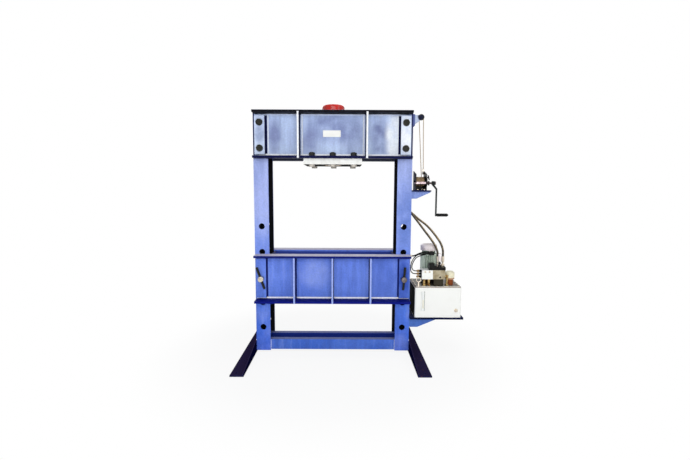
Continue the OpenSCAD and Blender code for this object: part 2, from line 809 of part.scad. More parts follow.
module rope_eye() {
    color(steel) translate([eye_x, eye_y, eye_z]) {
        along_x() rotate_extrude() translate([eye_r, 0]) circle(d = eye_wire);
        translate([0, 0, eye_r]) cylinder(d = 11, h = ferrule_h + eye_wire / 2);
    }
}

module winch_bracket() {
    gusset_h = 60;
    gusset_t = 8;
    bracket_front = 4 - web_back;
    color(paint) {
        translate([half_w, winch_front - 6, shelf_z - shelf_t]) cube([shelf_len, winch_d + 12, shelf_t]);
        translate([half_w, bracket_front, shelf_z - shelf_t - gusset_h])
            cube([8, winch_back - bracket_front, gusset_h + 1]);
        for (y = [bracket_front + gusset_t, winch_back])
            translate([half_w, y, shelf_z - shelf_t + 0.5]) plate_y(gusset_t) polygon([
                [0, 0], [shelf_len - 2, 0], [shelf_len - 2, -8], [40, -gusset_h], [0, -gusset_h]]);
    }
}

module winch_side() {
    plate_x(winch_t) polygon([[winch_front, shelf_z], [winch_back, shelf_z], [winch_back, shelf_z + winch_h],
        [winch_back - 14, shelf_z + winch_h], [winch_front, shelf_z + winch_h - 28]]);
}

module winch_frame() {
    back_h = 112;
    color(dark) difference() {
        union() {
            for (x = [0, winch_w - winch_t]) translate([winch_x + x, 0, 0]) winch_side();
            translate([winch_x, winch_front, shelf_z]) cube([winch_w, winch_d, winch_t]);
            translate([winch_x, winch_back - winch_t, shelf_z]) cube([winch_w, winch_t, back_h]);
            translate([winch_x + winch_w - winch_t - 12, eye_y, eye_z]) along_x() {
                cylinder(d = 2 * eye_r - eye_wire - 0.6, h = 12);
                cylinder(d = 2 * eye_r, h = 2);
            }
            translate([winch_x + winch_w - 1, pawl_y, pawl_z]) along_x()
                cylinder(d = pawl_pin_d, h = pawl_x + ratchet_w - winch_x - winch_w + 1);
        }
        translate([winch_x - 1, drum_y, drum_z]) along_x()
            cylinder(d = shaft_d + 2 * run_fit, h = winch_w + 2);
        translate([winch_x - 1, shaft_y, shaft_z]) along_x()
            cylinder(d = shaft_d + 2 * run_fit, h = winch_w + 2);
    }
}

drum_gap = 2;
drum_x = winch_x + winch_t + drum_gap;
drum_len = winch_w - 2 * winch_t - 2 * drum_gap;
drum_flange_t = 3;
module drum() {
    color("dimgray") {
        translate([drum_x, drum_y, drum_z]) along_x() {
            cylinder(d = drum_d, h = drum_len);
            cylinder(d = drum_flange_d, h = drum_flange_t);
            translate([0, 0, drum_len - drum_flange_t]) cylinder(d = drum_flange_d, h = drum_flange_t);
        }
        translate([winch_x - 6, drum_y, drum_z]) along_x()
            cylinder(d = shaft_d, h = winch_w + 6 + gear_gap + gear_w + 8);
        translate([gear_x, drum_y, drum_z]) plate_x(gear_w) difference() {
            gear_outline(gear_m, gear_teeth, mesh_angle);
            for (a = [0 : 60 : 300]) rotate(a) translate([gear_r * 0.55, 0]) circle(r = gear_r * 0.16);
        }
    }
}

module rope_coil() {
    turns = floor((drum_len - 2 * drum_flange_t - 0.4) / rope_d);
    color(zinc) translate([drum_x + drum_flange_t + 0.2, drum_y, drum_z]) along_x() difference() {
        rotate_extrude() {
            square([coil_d / 2 - rope_d / 2, turns * rope_d]);
            for (i = [0 : turns - 1]) translate([coil_d / 2 - rope_d / 2, (i + 0.5) * rope_d])
                circle(d = rope_d, $fn = 24);
        }
        translate([0, 0, -1]) cylinder(d = drum_d + 2 * seat_fit, h = drum_len + 2);
    }
}

module pinion_shaft() {
    color(steel) {
        translate([winch_x - 6, shaft_y, shaft_z]) along_x()
            cylinder(d = shaft_d, h = hub_x + hub_w - winch_x + 12);
        translate([winch_x + winch_t + 1, shaft_y, shaft_z]) along_x()
            cylinder(d = shaft_sleeve_d, h = winch_w - 2 * winch_t - 2);
        translate([gear_x - 1, shaft_y, shaft_z]) plate_x(gear_w + 2)
            gear_outline(gear_m, pinion_teeth, mesh_angle + 180 + 180 / pinion_teeth);
        translate([ratchet_x, shaft_y, shaft_z]) plate_x(ratchet_w) polygon([
            for (i = [0 : 11], c = [[ratchet_r - 5, -2], [ratchet_r, 0]])
                let (a = ratchet_phase + 30 * i + c[1]) c[0] * [cos(a), sin(a)]]);
        translate([hub_x + hub_w, shaft_y, shaft_z]) along_x() hex(24, 10);
    }
}

// Ratchet pawl, lifted clear of the wheel at rest
pawl_x = ratchet_x;
pawl_y = shaft_y + 10;
pawl_z = shaft_z + 46;
pawl_pin_d = 9;
module ratchet_pawl() {
    color(dark) translate([pawl_x, pawl_y, pawl_z]) difference() {
        union() {
            along_x() cylinder(r = 9, h = ratchet_w);
            plate_x(ratchet_w) polygon([[-7, 4], [5, -7], [-26, -22], [-31, -17]]);
            plate_x(ratchet_w) polygon([[-4, 7.5], [6, -3], [30, 16], [26, 21]]);
        }
        translate([-1, 0, 0]) along_x() cylinder(d = pawl_pin_d + 2 * run_fit, h = ratchet_w + 2);
    }
}

crank_w = 22;
crank_t = 10;
grip_x = hub_x + hub_w / 2 + crank_step;
grip_z = shaft_z - crank_len;
spindle_d = 10;
module crank_arm() {
    mid = hub_w / 2;
    hub_d = 34;
    bend_z = 46;
    color(dark) difference() {
        union() {
            translate([hub_x, shaft_y, shaft_z]) along_x() cylinder(d = hub_d, h = hub_w);
            translate([hub_x, shaft_y + crank_w / 2, shaft_z]) plate_y(crank_w) polygon([
                [4, 0], [hub_w - 2, 0], [hub_w - 2, -15], [mid + crank_step + crank_t / 2, -bend_z],
                [mid + crank_step + crank_t / 2, -crank_len], [mid + crank_step - crank_t / 2, -crank_len],
                [mid + crank_step - crank_t / 2, -bend_z - 6], [4, -18]]);
            translate([grip_x - crank_t / 2, shaft_y, grip_z]) along_x() {
                cylinder(d = crank_w, h = crank_t);
                cylinder(d = spindle_d, h = crank_t + grip_len + 4);
                translate([0, 0, crank_t + grip_len + 1]) cylinder(d = 16, h = 4);
            }
        }
        translate([hub_x - 1, shaft_y, shaft_z]) along_x()
            cylinder(d = shaft_d + 2 * seat_fit, h = hub_w + 2);
    }
}

module crank_grip() {
    r = grip_d / 2;
    hole_r = spindle_d / 2 + run_fit;
    start_x = grip_x + crank_t / 2 + 0.5;
    color(dark) translate([start_x, shaft_y, grip_z]) along_x() rotate_extrude() difference() {
        polygon([[hole_r, 0], [r - 4, 0], [r, 6], [r, grip_len - 6], [r - 4, grip_len], [hole_r, grip_len]]);
        for (y = [20 : 10 : grip_len - 20]) translate([r + 2, y]) circle(r = 3, $fn = 24);
    }
}

// Power pack

module tank_bracket() {
    length = tank_gap + tank_w + tank_shelf_over;
    drop = 82;
    gusset_t = 12;
    gusset_len = 265;
    gusset_foot = 70;
    color(paint) {
        translate([half_w, -tank_d / 2 - shelf_edge, tank_z - tank_shelf_t])
            cube([length, tank_d + 2 * shelf_edge, tank_shelf_t]);
        translate([half_w, -web_back, tank_z - tank_shelf_t - drop]) cube([8, upright_d, drop + 1]);
        for (y = [-web_back + gusset_t, web_back])
            translate([half_w, y, tank_z - tank_shelf_t + 0.5]) plate_y(gusset_t)
                polygon([[0, 0], [gusset_len, 0], [gusset_foot, -drop], [0, -drop]]);
    }
}

module tank() {
    color("white") translate([tank_x, -tank_d / 2, tank_z]) difference() {
        soft_box([tank_w, tank_d, tank_h], tank_r);
        translate([tank_wall, tank_wall, tank_wall])
            soft_box([tank_w - 2 * tank_wall, tank_d - 2 * tank_wall, tank_h], tank_r - tank_wall);
    }
}

module tank_lid() {
    color("white") difference() {
        union() {
            translate([tank_x + lid_in, lid_in - tank_d / 2, tank_top])
                soft_box([tank_w - 2 * lid_in, tank_d - 2 * lid_in, lid_t], tank_r);
            translate([filler_x, filler_y, lid_top - 1]) cylinder(d = neck_d, h = neck_h + 1);
        }
        translate([motor_x, motor_y, tank_top - 1]) cylinder(d = pump_shaft_d + 6, h = lid_t + 2);
        translate([filler_x, filler_y, tank_top - 1])
            cylinder(d = neck_d - 2 * neck_wall, h = lid_t + neck_h + 2);
    }
}

module filler_cap() {
    grip_ribs = 24;
    r = filler_d / 2;
    color("ivory") translate([filler_x, filler_y, lid_top + neck_h]) {
        rotate_extrude() polygon([
            [0, 0], [r - 3, 0], [r, 3], [r, filler_h - 10], [r - 10, filler_h], [0, filler_h]]);
        for (i = [0 : grip_ribs - 1]) rotate(i * 360 / grip_ribs)
            translate([r - 1, -1.5, 6]) cube([2.5, 3, filler_h - 20]);
        translate([0, 0, -12]) cylinder(d = neck_d - 2 * neck_wall - 0.6, h = 13);
    }
}

module level_gauge() {
    gauge_h = 162;
    gauge_t = 14;
    color("whitesmoke") translate([gauge_x, -tank_d / 2, gauge_z]) difference() {
        union() {
            translate([-gauge_w / 2, -gauge_t / 2, 0]) cube([gauge_w, gauge_t / 2, gauge_h]);
            for (z = [0, gauge_h - gauge_w]) translate([-gauge_w / 2, -gauge_t, z])
                cube([gauge_w, gauge_t, gauge_w]);
            translate([0, -gauge_t / 2, 5]) cylinder(d = gauge_t - 2, h = gauge_h - 10);
            for (z = [gauge_w / 2, gauge_h - gauge_w / 2]) translate([0, 1 - gauge_t, z])
                along_front() hex(16, 6);
        }
        translate([-gauge_w, 0, -1]) cube([2 * gauge_w, gauge_t, gauge_h + 2]);
    }
}

module lifting_eye() {
    ring_r = 18;
    wire = 10;
    ring_z = 55;
    color("gold") translate([eye_bolt_x, eye_bolt_y, lid_top]) {
        cylinder(d = 30, h = 8);
        cylinder(d1 = 22, d2 = 15, h = ring_z - ring_r);
        translate([0, 0, ring_z]) along_front() rotate_extrude() translate([ring_r, 0]) circle(d = wire);
    }
}

// Gear pump that hangs under the lid, its shaft up to the motor and its strainer down in the oil
module gear_pump() {
    flange_d = 130;
    body_w = 90;
    body_d = 80;
    body_h = 90;
    strainer_d = 62;
    strainer_h = 70;
    strainer_up = tank_wall + 20;
    color("gray") translate([motor_x, motor_y, tank_top]) {
        translate([0, 0, -8]) cylinder(d = flange_d, h = 8);
        translate([-body_w / 2, -body_d / 2, -body_h]) cube([body_w, body_d, body_h - 7]);
        translate([0, 0, -1]) cylinder(d = pump_shaft_d, h = lid_t + bell_h - 1);
        translate([20, 0, strainer_up - tank_h]) cylinder(d = strainer_d, h = strainer_h);
        translate([20, 0, strainer_up - tank_h]) cylinder(d = 30, h = tank_h - body_h - strainer_up + 1);
    }
}

module bell_housing() {
    foot_r = motor_d / 2 + 4;
    neck_r = motor_d / 2 - 15;
    top_r = motor_d / 2 - 5;
    bell_wall = 8;
    window_w = 40;
    color(dark) translate([motor_x, motor_y, lid_top]) difference() {
        rotate_extrude() polygon([
            [neck_r - bell_wall, 0], [foot_r, 0], [foot_r, 10], [neck_r, 16], [neck_r, bell_h - 26],
            [top_r, bell_h - 12], [top_r, bell_h], [neck_r - bell_wall, bell_h]]);
        translate([-window_w / 2, 0, 30]) cube([window_w, foot_r, 40]);
    }
}

module motor_body() {
    color("darkseagreen") translate([motor_x, motor_y, motor_z]) {
        cylinder(d = core_d, h = motor_h + shield_h);
        for (z = [0, motor_h - 8]) translate([0, 0, z]) cylinder(d = motor_d - 6, h = 8);
        for (i = [0 : fin_count - 1]) rotate((i + 0.5) * 360 / fin_count)
            translate([core_d / 2 - 2, -fin_t / 2, 4])
                cube([(motor_d - core_d) / 2 + 2, fin_t, motor_h - 8]);
    }
}

module fan_cowl() {
    r = motor_d / 2;
    cowl_t = 2.5;
    color("darkseagreen") translate([motor_x, motor_y, motor_top + shield_h]) difference() {
        rotate_extrude() polygon([
            [0, 0], [r, 0], [r, cowl_h - 16], [r - 5, cowl_h - 5], [r - 16, cowl_h], [0, cowl_h]]);
        translate([0, 0, cowl_h - cowl_t - 6]) for (ring_r = [18 : 12 : r - 20])
            ring_round(2 * ring_r + 5, 2 * ring_r - 1, 12);
        translate([-r, -3, cowl_h - 1.2]) cube([2 * r, 6, 2]);
    }
}

module terminal_box() {
    box_w = 42;
    color(dark) difference() {
        translate([box_x, box_y, box_z]) soft_box([box_w, motor_y - box_y, box_h], 4);
        translate([motor_x, motor_y, box_z - 1]) cylinder(d = core_d + 0.6, h = box_h + 2);
    }
}

module manifold() {
    plug_d = 16;
    foot_in = 12;
    color("tan") difference() {
        union() {
            translate([manifold_x, block_front, block_z]) cube([manifold_w, manifold_d, manifold_h]);
            translate([manifold_x + foot_in, block_front + foot_in, lid_top])
                cube([manifold_w - 2 * foot_in, manifold_d - 2 * foot_in, stand_h + 1]);
        }
        translate([manifold_x + 0.6 * manifold_w, block_front + 8, block_z + 16]) along_front()
            cylinder(d = plug_d, h = 10);
    }
}

module check_block() {
    color("white") difference() {
        translate([check_x, block_front, block_z]) cube([check_w, manifold_d, manifold_h]);
        for (x = [0.3, 0.7]) translate([check_x + x * check_w, block_front + 6, block_top - 14])
            along_front() cylinder(d = 9, h = 8);
    }
}

// Two unions under the check block and the return elbow beside the manifold
module union_pipe() {
    end_af = 32;
    end_h = 16;
    cylinder(d = 20, h = stand_h);
    for (z = [0, stand_h - end_h]) translate([0, 0, z]) hex(end_af, end_h);
    translate([0, 0, stand_h / 2 - 9]) hex(27, 18);
}

module block_unions() {
    elbow_z = block_z + 18;
    elbow_x = manifold_x + manifold_w + 26;
    color("darkgoldenrod") {
        for (x = [0.28, 0.72]) translate([check_x + x * check_w, switch_y, lid_top]) union_pipe();
        translate([elbow_x, switch_y, lid_top]) {
            hex(30, 14);
            cylinder(d = 20, h = elbow_z - lid_top);
            translate([0, 0, elbow_z - lid_top]) sphere(d = 24);
        }
        translate([manifold_x + manifold_w, switch_y, elbow_z]) along_x() {
            hex(27, 12);
            cylinder(d = 20, h = elbow_x - manifold_x - manifold_w);
        }
    }
}

module pressure_switches() {
    color(dark) for (z = switch_zs) translate([check_x, switch_y, z]) rotate([0, -90, 0]) {
        cylinder(d = 12, h = switch_len - 8);
        hex(19, 12);
        translate([0, 0, 14]) cylinder(d = 21, h = switch_len - 22);
        translate([0, 0, switch_len - 8]) cylinder(d1 = 18, d2 = lead_d + 3, h = 8);
    }
}

// Valve body with the lever's ears and pin, and the relief valve's body with its spindle
ear_t = 5;
lever_hub_w = 12;
lever_hub_d = 16;
lever_pin_d = 6;
knob_gap = 4;
knob_h = 22;
knob_d = 44;
knob_stem_d = 10;
knob_end = 4;
module directional_valve() {
    relief_w = 44;
    relief_h = 56;
    relief_d = 50;
    ear_x = lever_hub_w / 2 + 0.4;
    color(dark) {
        translate([valve_x, block_front + 4, block_top]) cube([valve_w, manifold_d - 6, valve_h]);
        for (x = [lever_x - ear_x - ear_t, lever_x + ear_x]) translate([x, lever_y, 0]) {
            translate([0, -8, valve_top - 1]) cube([ear_t, 16, lever_pivot_z - valve_top + 1]);
            translate([0, 0, lever_pivot_z]) along_x() cylinder(d = 16, h = ear_t);
        }
        translate([lever_x - ear_x - 1, lever_y, lever_pivot_z]) along_x()
            cylinder(d = lever_pin_d, h = 2 * ear_x + 2);
        translate([valve_x - relief_w, block_front + 4, block_top]) cube([relief_w + 1, relief_d, relief_h]);
        translate([knob_x, block_front + 5, knob_z]) along_front() cylinder(d = 24, h = knob_gap + 1 - 0.4);
        translate([knob_x, block_front + 5, knob_z]) along_front()
            cylinder(d = knob_stem_d, h = knob_gap + 1 + knob_h - knob_end - 0.4);
    }
}

module relief_knob() {
    flutes = 8;
    color(dark) translate([knob_x, block_front - knob_gap + 4, knob_z]) along_front() difference() {
        union() {
            cylinder(d = knob_d, h = knob_h - knob_end);
            translate([0, 0, knob_h - knob_end]) cylinder(d1 = knob_d, d2 = knob_d - 8, h = knob_end);
        }
        translate([0, 0, -1]) cylinder(d = knob_stem_d + 2 * run_fit, h = knob_h - knob_end + 1);
        for (i = [0 : flutes - 1]) rotate(i * 360 / flutes)
            translate([knob_d / 2 + 2, 0, -1]) cylinder(d = 8, h = knob_h + 2);
    }
}

lever_rod_d = 10;
lever_len = 108;
lever_grip_low = 36;
module valve_lever() {
    boot_low = 14;
    color(dark) translate([lever_x, lever_y, lever_pivot_z]) difference() {
        union() {
            translate([-lever_hub_w / 2, 0, 0]) along_x() cylinder(d = lever_hub_d, h = lever_hub_w);
            cylinder(d = lever_rod_d, h = lever_len - 4);
            translate([0, 0, boot_low]) cylinder(d1 = 24, d2 = 15, h = lever_grip_low - boot_low);
        }
        translate([-lever_hub_w, 0, 0]) along_x()
            cylinder(d = lever_pin_d + 2 * run_fit, h = 2 * lever_hub_w);
    }
}

module lever_grip() {
    r = lever_grip_d / 2;
    h = lever_len - lever_grip_low;
    color("white") translate([lever_x, lever_y, lever_pivot_z + lever_grip_low]) difference() {
        rotate_extrude() polygon([
            [0, 0], [r - 6, 0], [r - 3, 8], [r, h - 16], [r - 2, h - 6], [r - 8, h], [0, h]]);
        translate([0, 0, -1]) cylinder(d = lever_rod_d + 2 * seat_fit, h = h - 3);
    }
}

// Hose ends on the valve and on the cylinder, and the gland of the supply cable
module hose_end() {
    hex(27, 18);
    cylinder(d = 14, h = 40);
    translate([0, 0, 34]) cylinder(d1 = 20, d2 = hose_d + 6, h = 6);
    translate([0, 0, 40]) cylinder(d = hose_d + 6, h = fitting_len - 40);
}

module line_fittings() {
    color(zinc) {
        for (x = hose_xs) translate([x, hose_y, valve_top]) hose_end();
        for (p = [[-port_y, port_high_z], [port_y, port_low_z]])
            translate([port_face_x, p.x, p.y]) along_x() hose_end();
        translate([half_w, gland_y, gland_z]) along_x() {
            hex(24, 10);
            translate([0, 0, 10]) cylinder(d1 = 20, d2 = supply_d + 4, h = gland_len - 10);
        }
    }
}

module hose_extend() { color(dark) tube(hose_extend_points, hose_d); }
module hose_retract() { color(dark) tube(hose_retract_points, hose_d); }
module supply_cable() { color(dark) tube(supply_points, supply_d); }
module switch_lead_front() { color(dark) tube(lead_front_points, lead_d); }
module switch_lead_back() { color(dark) tube(lead_back_points, lead_d); }

left_upright();
right_upright();
head_front_beam();
head_rear_beam();
frame_bolts();
bed_front_beam();
bed_rear_beam();
bed_ties();
lower_ties();
left_foot();
right_foot();
left_pin();
left_pin_bar();
right_pin();
right_pin_bar();
cylinder_plate();
cylinder_barrel();
cylinder_cap();
gland_bush();
ram();
piston();
piston_seals();
ram_nose();
sheave_bracket();
sheave();
wire_rope();
rope_eye();
winch_bracket();
winch_frame();
drum();
rope_coil();
pinion_shaft();
ratchet_pawl();
crank_arm();
crank_grip();
tank_bracket();
tank();
tank_lid();
filler_cap();
level_gauge();
lifting_eye();
gear_pump();
bell_housing();
motor_body();
fan_cowl();
terminal_box();
manifold();
check_block();
block_unions();
pressure_switches();
directional_valve();
relief_knob();
valve_lever();
lever_grip();
line_fittings();
hose_extend();
hose_retract();
supply_cable();
switch_lead_front();
switch_lead_back();
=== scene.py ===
"""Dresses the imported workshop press: finishes, cords, rope, welds, screws and the stage it is shown on."""

import math

import bmesh
import bpy
from mathutils import Matrix, Vector


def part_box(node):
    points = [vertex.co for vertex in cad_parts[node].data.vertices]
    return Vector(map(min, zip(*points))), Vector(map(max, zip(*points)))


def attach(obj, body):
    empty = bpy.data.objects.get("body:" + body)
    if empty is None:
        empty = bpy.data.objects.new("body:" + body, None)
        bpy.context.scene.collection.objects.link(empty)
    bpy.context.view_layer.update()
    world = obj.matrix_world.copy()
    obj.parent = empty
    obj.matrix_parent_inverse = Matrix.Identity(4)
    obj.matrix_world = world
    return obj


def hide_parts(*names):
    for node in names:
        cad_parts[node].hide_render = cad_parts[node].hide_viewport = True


bl_info = {
    "name": "Workshop press dressing",
    "version": (1, 0, 0),
    "blender": (4, 5, 0),
    "location": "View3D > Sidebar > Press",
    "description": "Finishes, cords, welds and small fittings of a hydraulic workshop press",
    "category": "Object",
}

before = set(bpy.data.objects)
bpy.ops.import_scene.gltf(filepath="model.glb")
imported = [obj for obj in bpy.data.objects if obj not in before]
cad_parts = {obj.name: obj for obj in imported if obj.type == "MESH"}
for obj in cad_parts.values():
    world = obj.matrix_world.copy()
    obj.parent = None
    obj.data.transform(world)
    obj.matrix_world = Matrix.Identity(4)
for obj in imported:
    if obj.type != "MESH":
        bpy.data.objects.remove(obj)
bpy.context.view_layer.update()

# Routes of the flexible lines in millimetres, the same points as in the part's source
HOSE_EXTEND = [
    (885, -82, 830), (885, -82, 850), (882, -80, 872), (872, -75, 900), (854, -67, 936), (823, -54, 982),
    (781, -42, 1037), (734, -33, 1100), (690, -25, 1157), (652, -25, 1207), (624, -25, 1247),
    (605, -25, 1289), (595, -25, 1335), (592, -25, 1387), (592, -25, 1453), (592, -25, 1533),
    (592, -25, 1613), (592, -25, 1703), (592, -25, 1800), (589, -25, 1854), (576, -25, 1902),
    (550, -25, 1940), (512, -25, 1965), (466, -25, 1976), (416, -25, 1980), (350, -25, 1980),
    (284, -25, 1980), (224, -25, 1980), (184, -25, 1980),
]
HOSE_RETRACT = [
    (930, -82, 830), (930, -82, 850), (930, -79, 874), (924, -72, 906), (909, -60, 944), (880, -42, 990),
    (839, -24, 1043), (795, -8, 1089), (737, 10, 1134), (684, 24, 1181), (648, 25, 1211), (622, 25, 1245),
    (604, 25, 1289), (595, 25, 1335), (592, 25, 1387), (592, 25, 1443), (592, 25, 1506), (589, 25, 1562),
    (577, 25, 1612), (552, 25, 1654), (516, 25, 1684), (472, 25, 1700), (424, 25, 1706), (370, 25, 1706),
    (310, 25, 1706), (250, 25, 1706), (184, 25, 1706),
]
SUPPLY_CABLE = [
    (676, -40, 825), (690, -40, 825), (708, -44, 832), (728, -52, 844), (750, -61, 854), (772, -68, 860),
    (794, -74, 860), (814, -74, 860),
]
LEAD_FRONT = [
    (705, -105, 708), (697, -105, 708), (685, -106, 710.4), (674.5, -108, 717.4), (667.5, -110, 728),
    (665, -112, 740), (666.5, -113, 758), (673, -112, 778), (685, -109, 800), (702, -105, 820),
    (730, -100, 834), (758, -94, 842), (786, -86, 846), (802, -82, 846), (814, -82, 846),
]
LEAD_BACK = [
    (705, -105, 684), (692, -105, 684), (678, -105.5, 686.7), (666.5, -106, 694.5), (658.7, -106.5, 706),
    (656, -106, 720), (656, -104, 740), (659, -101, 762), (666, -97, 784), (678, -92, 806),
    (695, -86, 825), (718, -74, 838), (748, -68, 844), (778, -64, 846), (800, -64, 846), (814, -64, 846),
]
ROPE = [
    (749, -33.77, 1414.08), (749, -23.3, 1418.41), (749, -14.31, 1425.31), (749, -7.41, 1434.3),
    (749, -3.08, 1444.77), (749, -1.6, 1456), (739.75, -8.7, 1588.5), (730.5, -15.8, 1721),
    (721.25, -22.9, 1853.5), (712, -30, 1986), (713.09, -30, 1992.16), (716.21, -30, 1997.57),
    (721, -30, 2001.59), (726.87, -30, 2003.73), (733.13, -30, 2003.73), (739, -30, 2001.59),
    (743.79, -30, 1997.57), (746.91, -30, 1992.16), (748, -30, 1986), (751, -24, 1880.63),
    (754, -18, 1775.25), (757, -12, 1669.88), (760, -6, 1589.5), (760, -6, 1564.5),
]


# Settings that nearly every node of these kinds takes here
USUAL = {"ShaderNodeMix": {"data_type": "RGBA"}, "ShaderNodeMapRange": {"interpolation_type": "SMOOTHSTEP"}}
# The enamel's colour ramp runs over this height in metres
RAMP_HEIGHT = 2.1
# One row of the hose's weave in the UV map along a tube
WEAVE_ROW = 0.06


def linear(code):
    """sRGB hex colour as linear RGBA."""
    parts = [int(code[i:i + 2], 16) / 255 for i in (1, 3, 5)]
    return tuple(c / 12.92 if c <= 0.04045 else ((c + 0.055) / 1.055) ** 2.4 for c in parts) + (1.0,)


def mm(*values):
    """Millimetres as metres, one number or a vector."""
    return values[0] / 1000 if len(values) == 1 else Vector(v / 1000 for v in values)


def per(size_mm):
    """Texture scale at which one grain, on Object coordinates in metres, is that many millimetres wide."""
    return 1000 / size_mm


def add(tree, kind, inputs=None, **settings):
    """Adds a node, sets its properties, and fills its inputs with values or links."""
    made = tree.nodes.new(kind)
    for name, value in {**USUAL.get(kind, {}), **settings}.items():
        setattr(made, name, value)
    for name, value in (inputs or {}).items():
        socket = made.inputs[name] if isinstance(name, int) else next(
            s for s in made.inputs if s.enabled and s.name == name)
        if isinstance(value, bpy.types.Node):
            value = next(s for s in value.outputs if s.enabled)
        if isinstance(value, bpy.types.NodeSocket):
            tree.links.new(value, socket)
        else:
            socket.default_value = value
    return made


def blank_material(name):
    """A new material, its empty node tree and the piece's own coordinates in it."""
    material = bpy.data.materials.new(name)
    material.use_nodes = True
    tree = material.node_tree
    tree.nodes.clear()
    return material, tree, add(tree, "ShaderNodeTexCoord").outputs["Object"]


def close_material(material, kind, inputs):
    """Ends a material in a shader, and gives it back."""
    tree = material.node_tree
    add(tree, "ShaderNodeOutputMaterial", {"Surface": add(tree, kind, inputs)})
    return material


def uneven_cover(tree, place, grain_mm, low, high, least=0.0, most=1.0, detail=2.0, rough=0.5, soft=True):
    """Patches with grains that many millimetres wide, running from least to most between two noise levels."""
    noise = add(tree, "ShaderNodeTexNoise",
                {"Vector": place, "Scale": per(grain_mm), "Detail": detail, "Roughness": rough})
    return add(tree, "ShaderNodeMapRange",
               {"Value": noise, "From Min": low, "From Max": high, "To Min": least, "To Max": most},
               interpolation_type="SMOOTHSTEP" if soft else "LINEAR")


def inside_box(tree, place, centre, half):
    """1 inside a box of the object's own space and 0 a millimetre outside it."""
    away = add(tree, "ShaderNodeVectorMath", {0: place, 1: mm(*centre)}, operation="SUBTRACT")
    away = add(tree, "ShaderNodeVectorMath", {0: away}, operation="ABSOLUTE")
    away = add(tree, "ShaderNodeVectorMath", {0: away, 1: mm(*half)}, operation="SUBTRACT")
    axes = add(tree, "ShaderNodeSeparateXYZ", {0: away}).outputs
    most = add(tree, "ShaderNodeMath", {0: axes[0], 1: axes[1]}, operation="MAXIMUM")
    most = add(tree, "ShaderNodeMath", {0: most, 1: axes[2]}, operation="MAXIMUM")
    return add(tree, "ShaderNodeMapRange", {"Value": most, "From Min": mm(1), "From Max": 0.0})


def inside_ball(tree, place, centre, half):
    """1 in the middle of an ellipsoid of the object's own space, easing to 0 at its surface."""
    away = add(tree, "ShaderNodeVectorMath", {0: place, 1: mm(*centre)}, operation="SUBTRACT")
    away = add(tree, "ShaderNodeVectorMath", {0: away, 1: mm(*half)}, operation="DIVIDE")
    away = add(tree, "ShaderNodeVectorMath", {0: away}, operation="LENGTH")
    return add(tree, "ShaderNodeMapRange", {"Value": away, "From Min": 1.0, "From Max": 0.35})


def lay_coats(tree, colour, coats):
    """A colour with coats of others laid over it in turn, each a cover from 0 to 1 and a tint."""
    for cover, tint in coats:
        colour = add(tree, "ShaderNodeMix", {"Factor": cover, "A": colour, "B": linear(tint)})
    return colour


def mark_coats(tree, place, marks):
    """Coats for marks: boxes by centre and half size in millimetres, with a tint and how far it covers."""
    coats = []
    for centre, half, tint, amount in marks:
        box = inside_box(tree, place, centre, half)
        coats.append((add(tree, "ShaderNodeMath", {0: box, 1: amount}, operation="MULTIPLY"), tint))
    return coats


def worn_edges(tree, radius_mm):
    """1 along sharp edges, from how far the rounded normal leaves the true one, and that normal."""
    rounded = add(tree, "ShaderNodeBevel", {"Radius": mm(radius_mm)}, samples=4)
    true = add(tree, "ShaderNodeNewGeometry").outputs["Normal"]
    facing = add(tree, "ShaderNodeVectorMath", {0: rounded, 1: true}, operation="DOT_PRODUCT")
    return add(tree, "ShaderNodeMapRange", {"Value": facing, "From Min": 0.96, "From Max": 0.75}), rounded


# Finishes

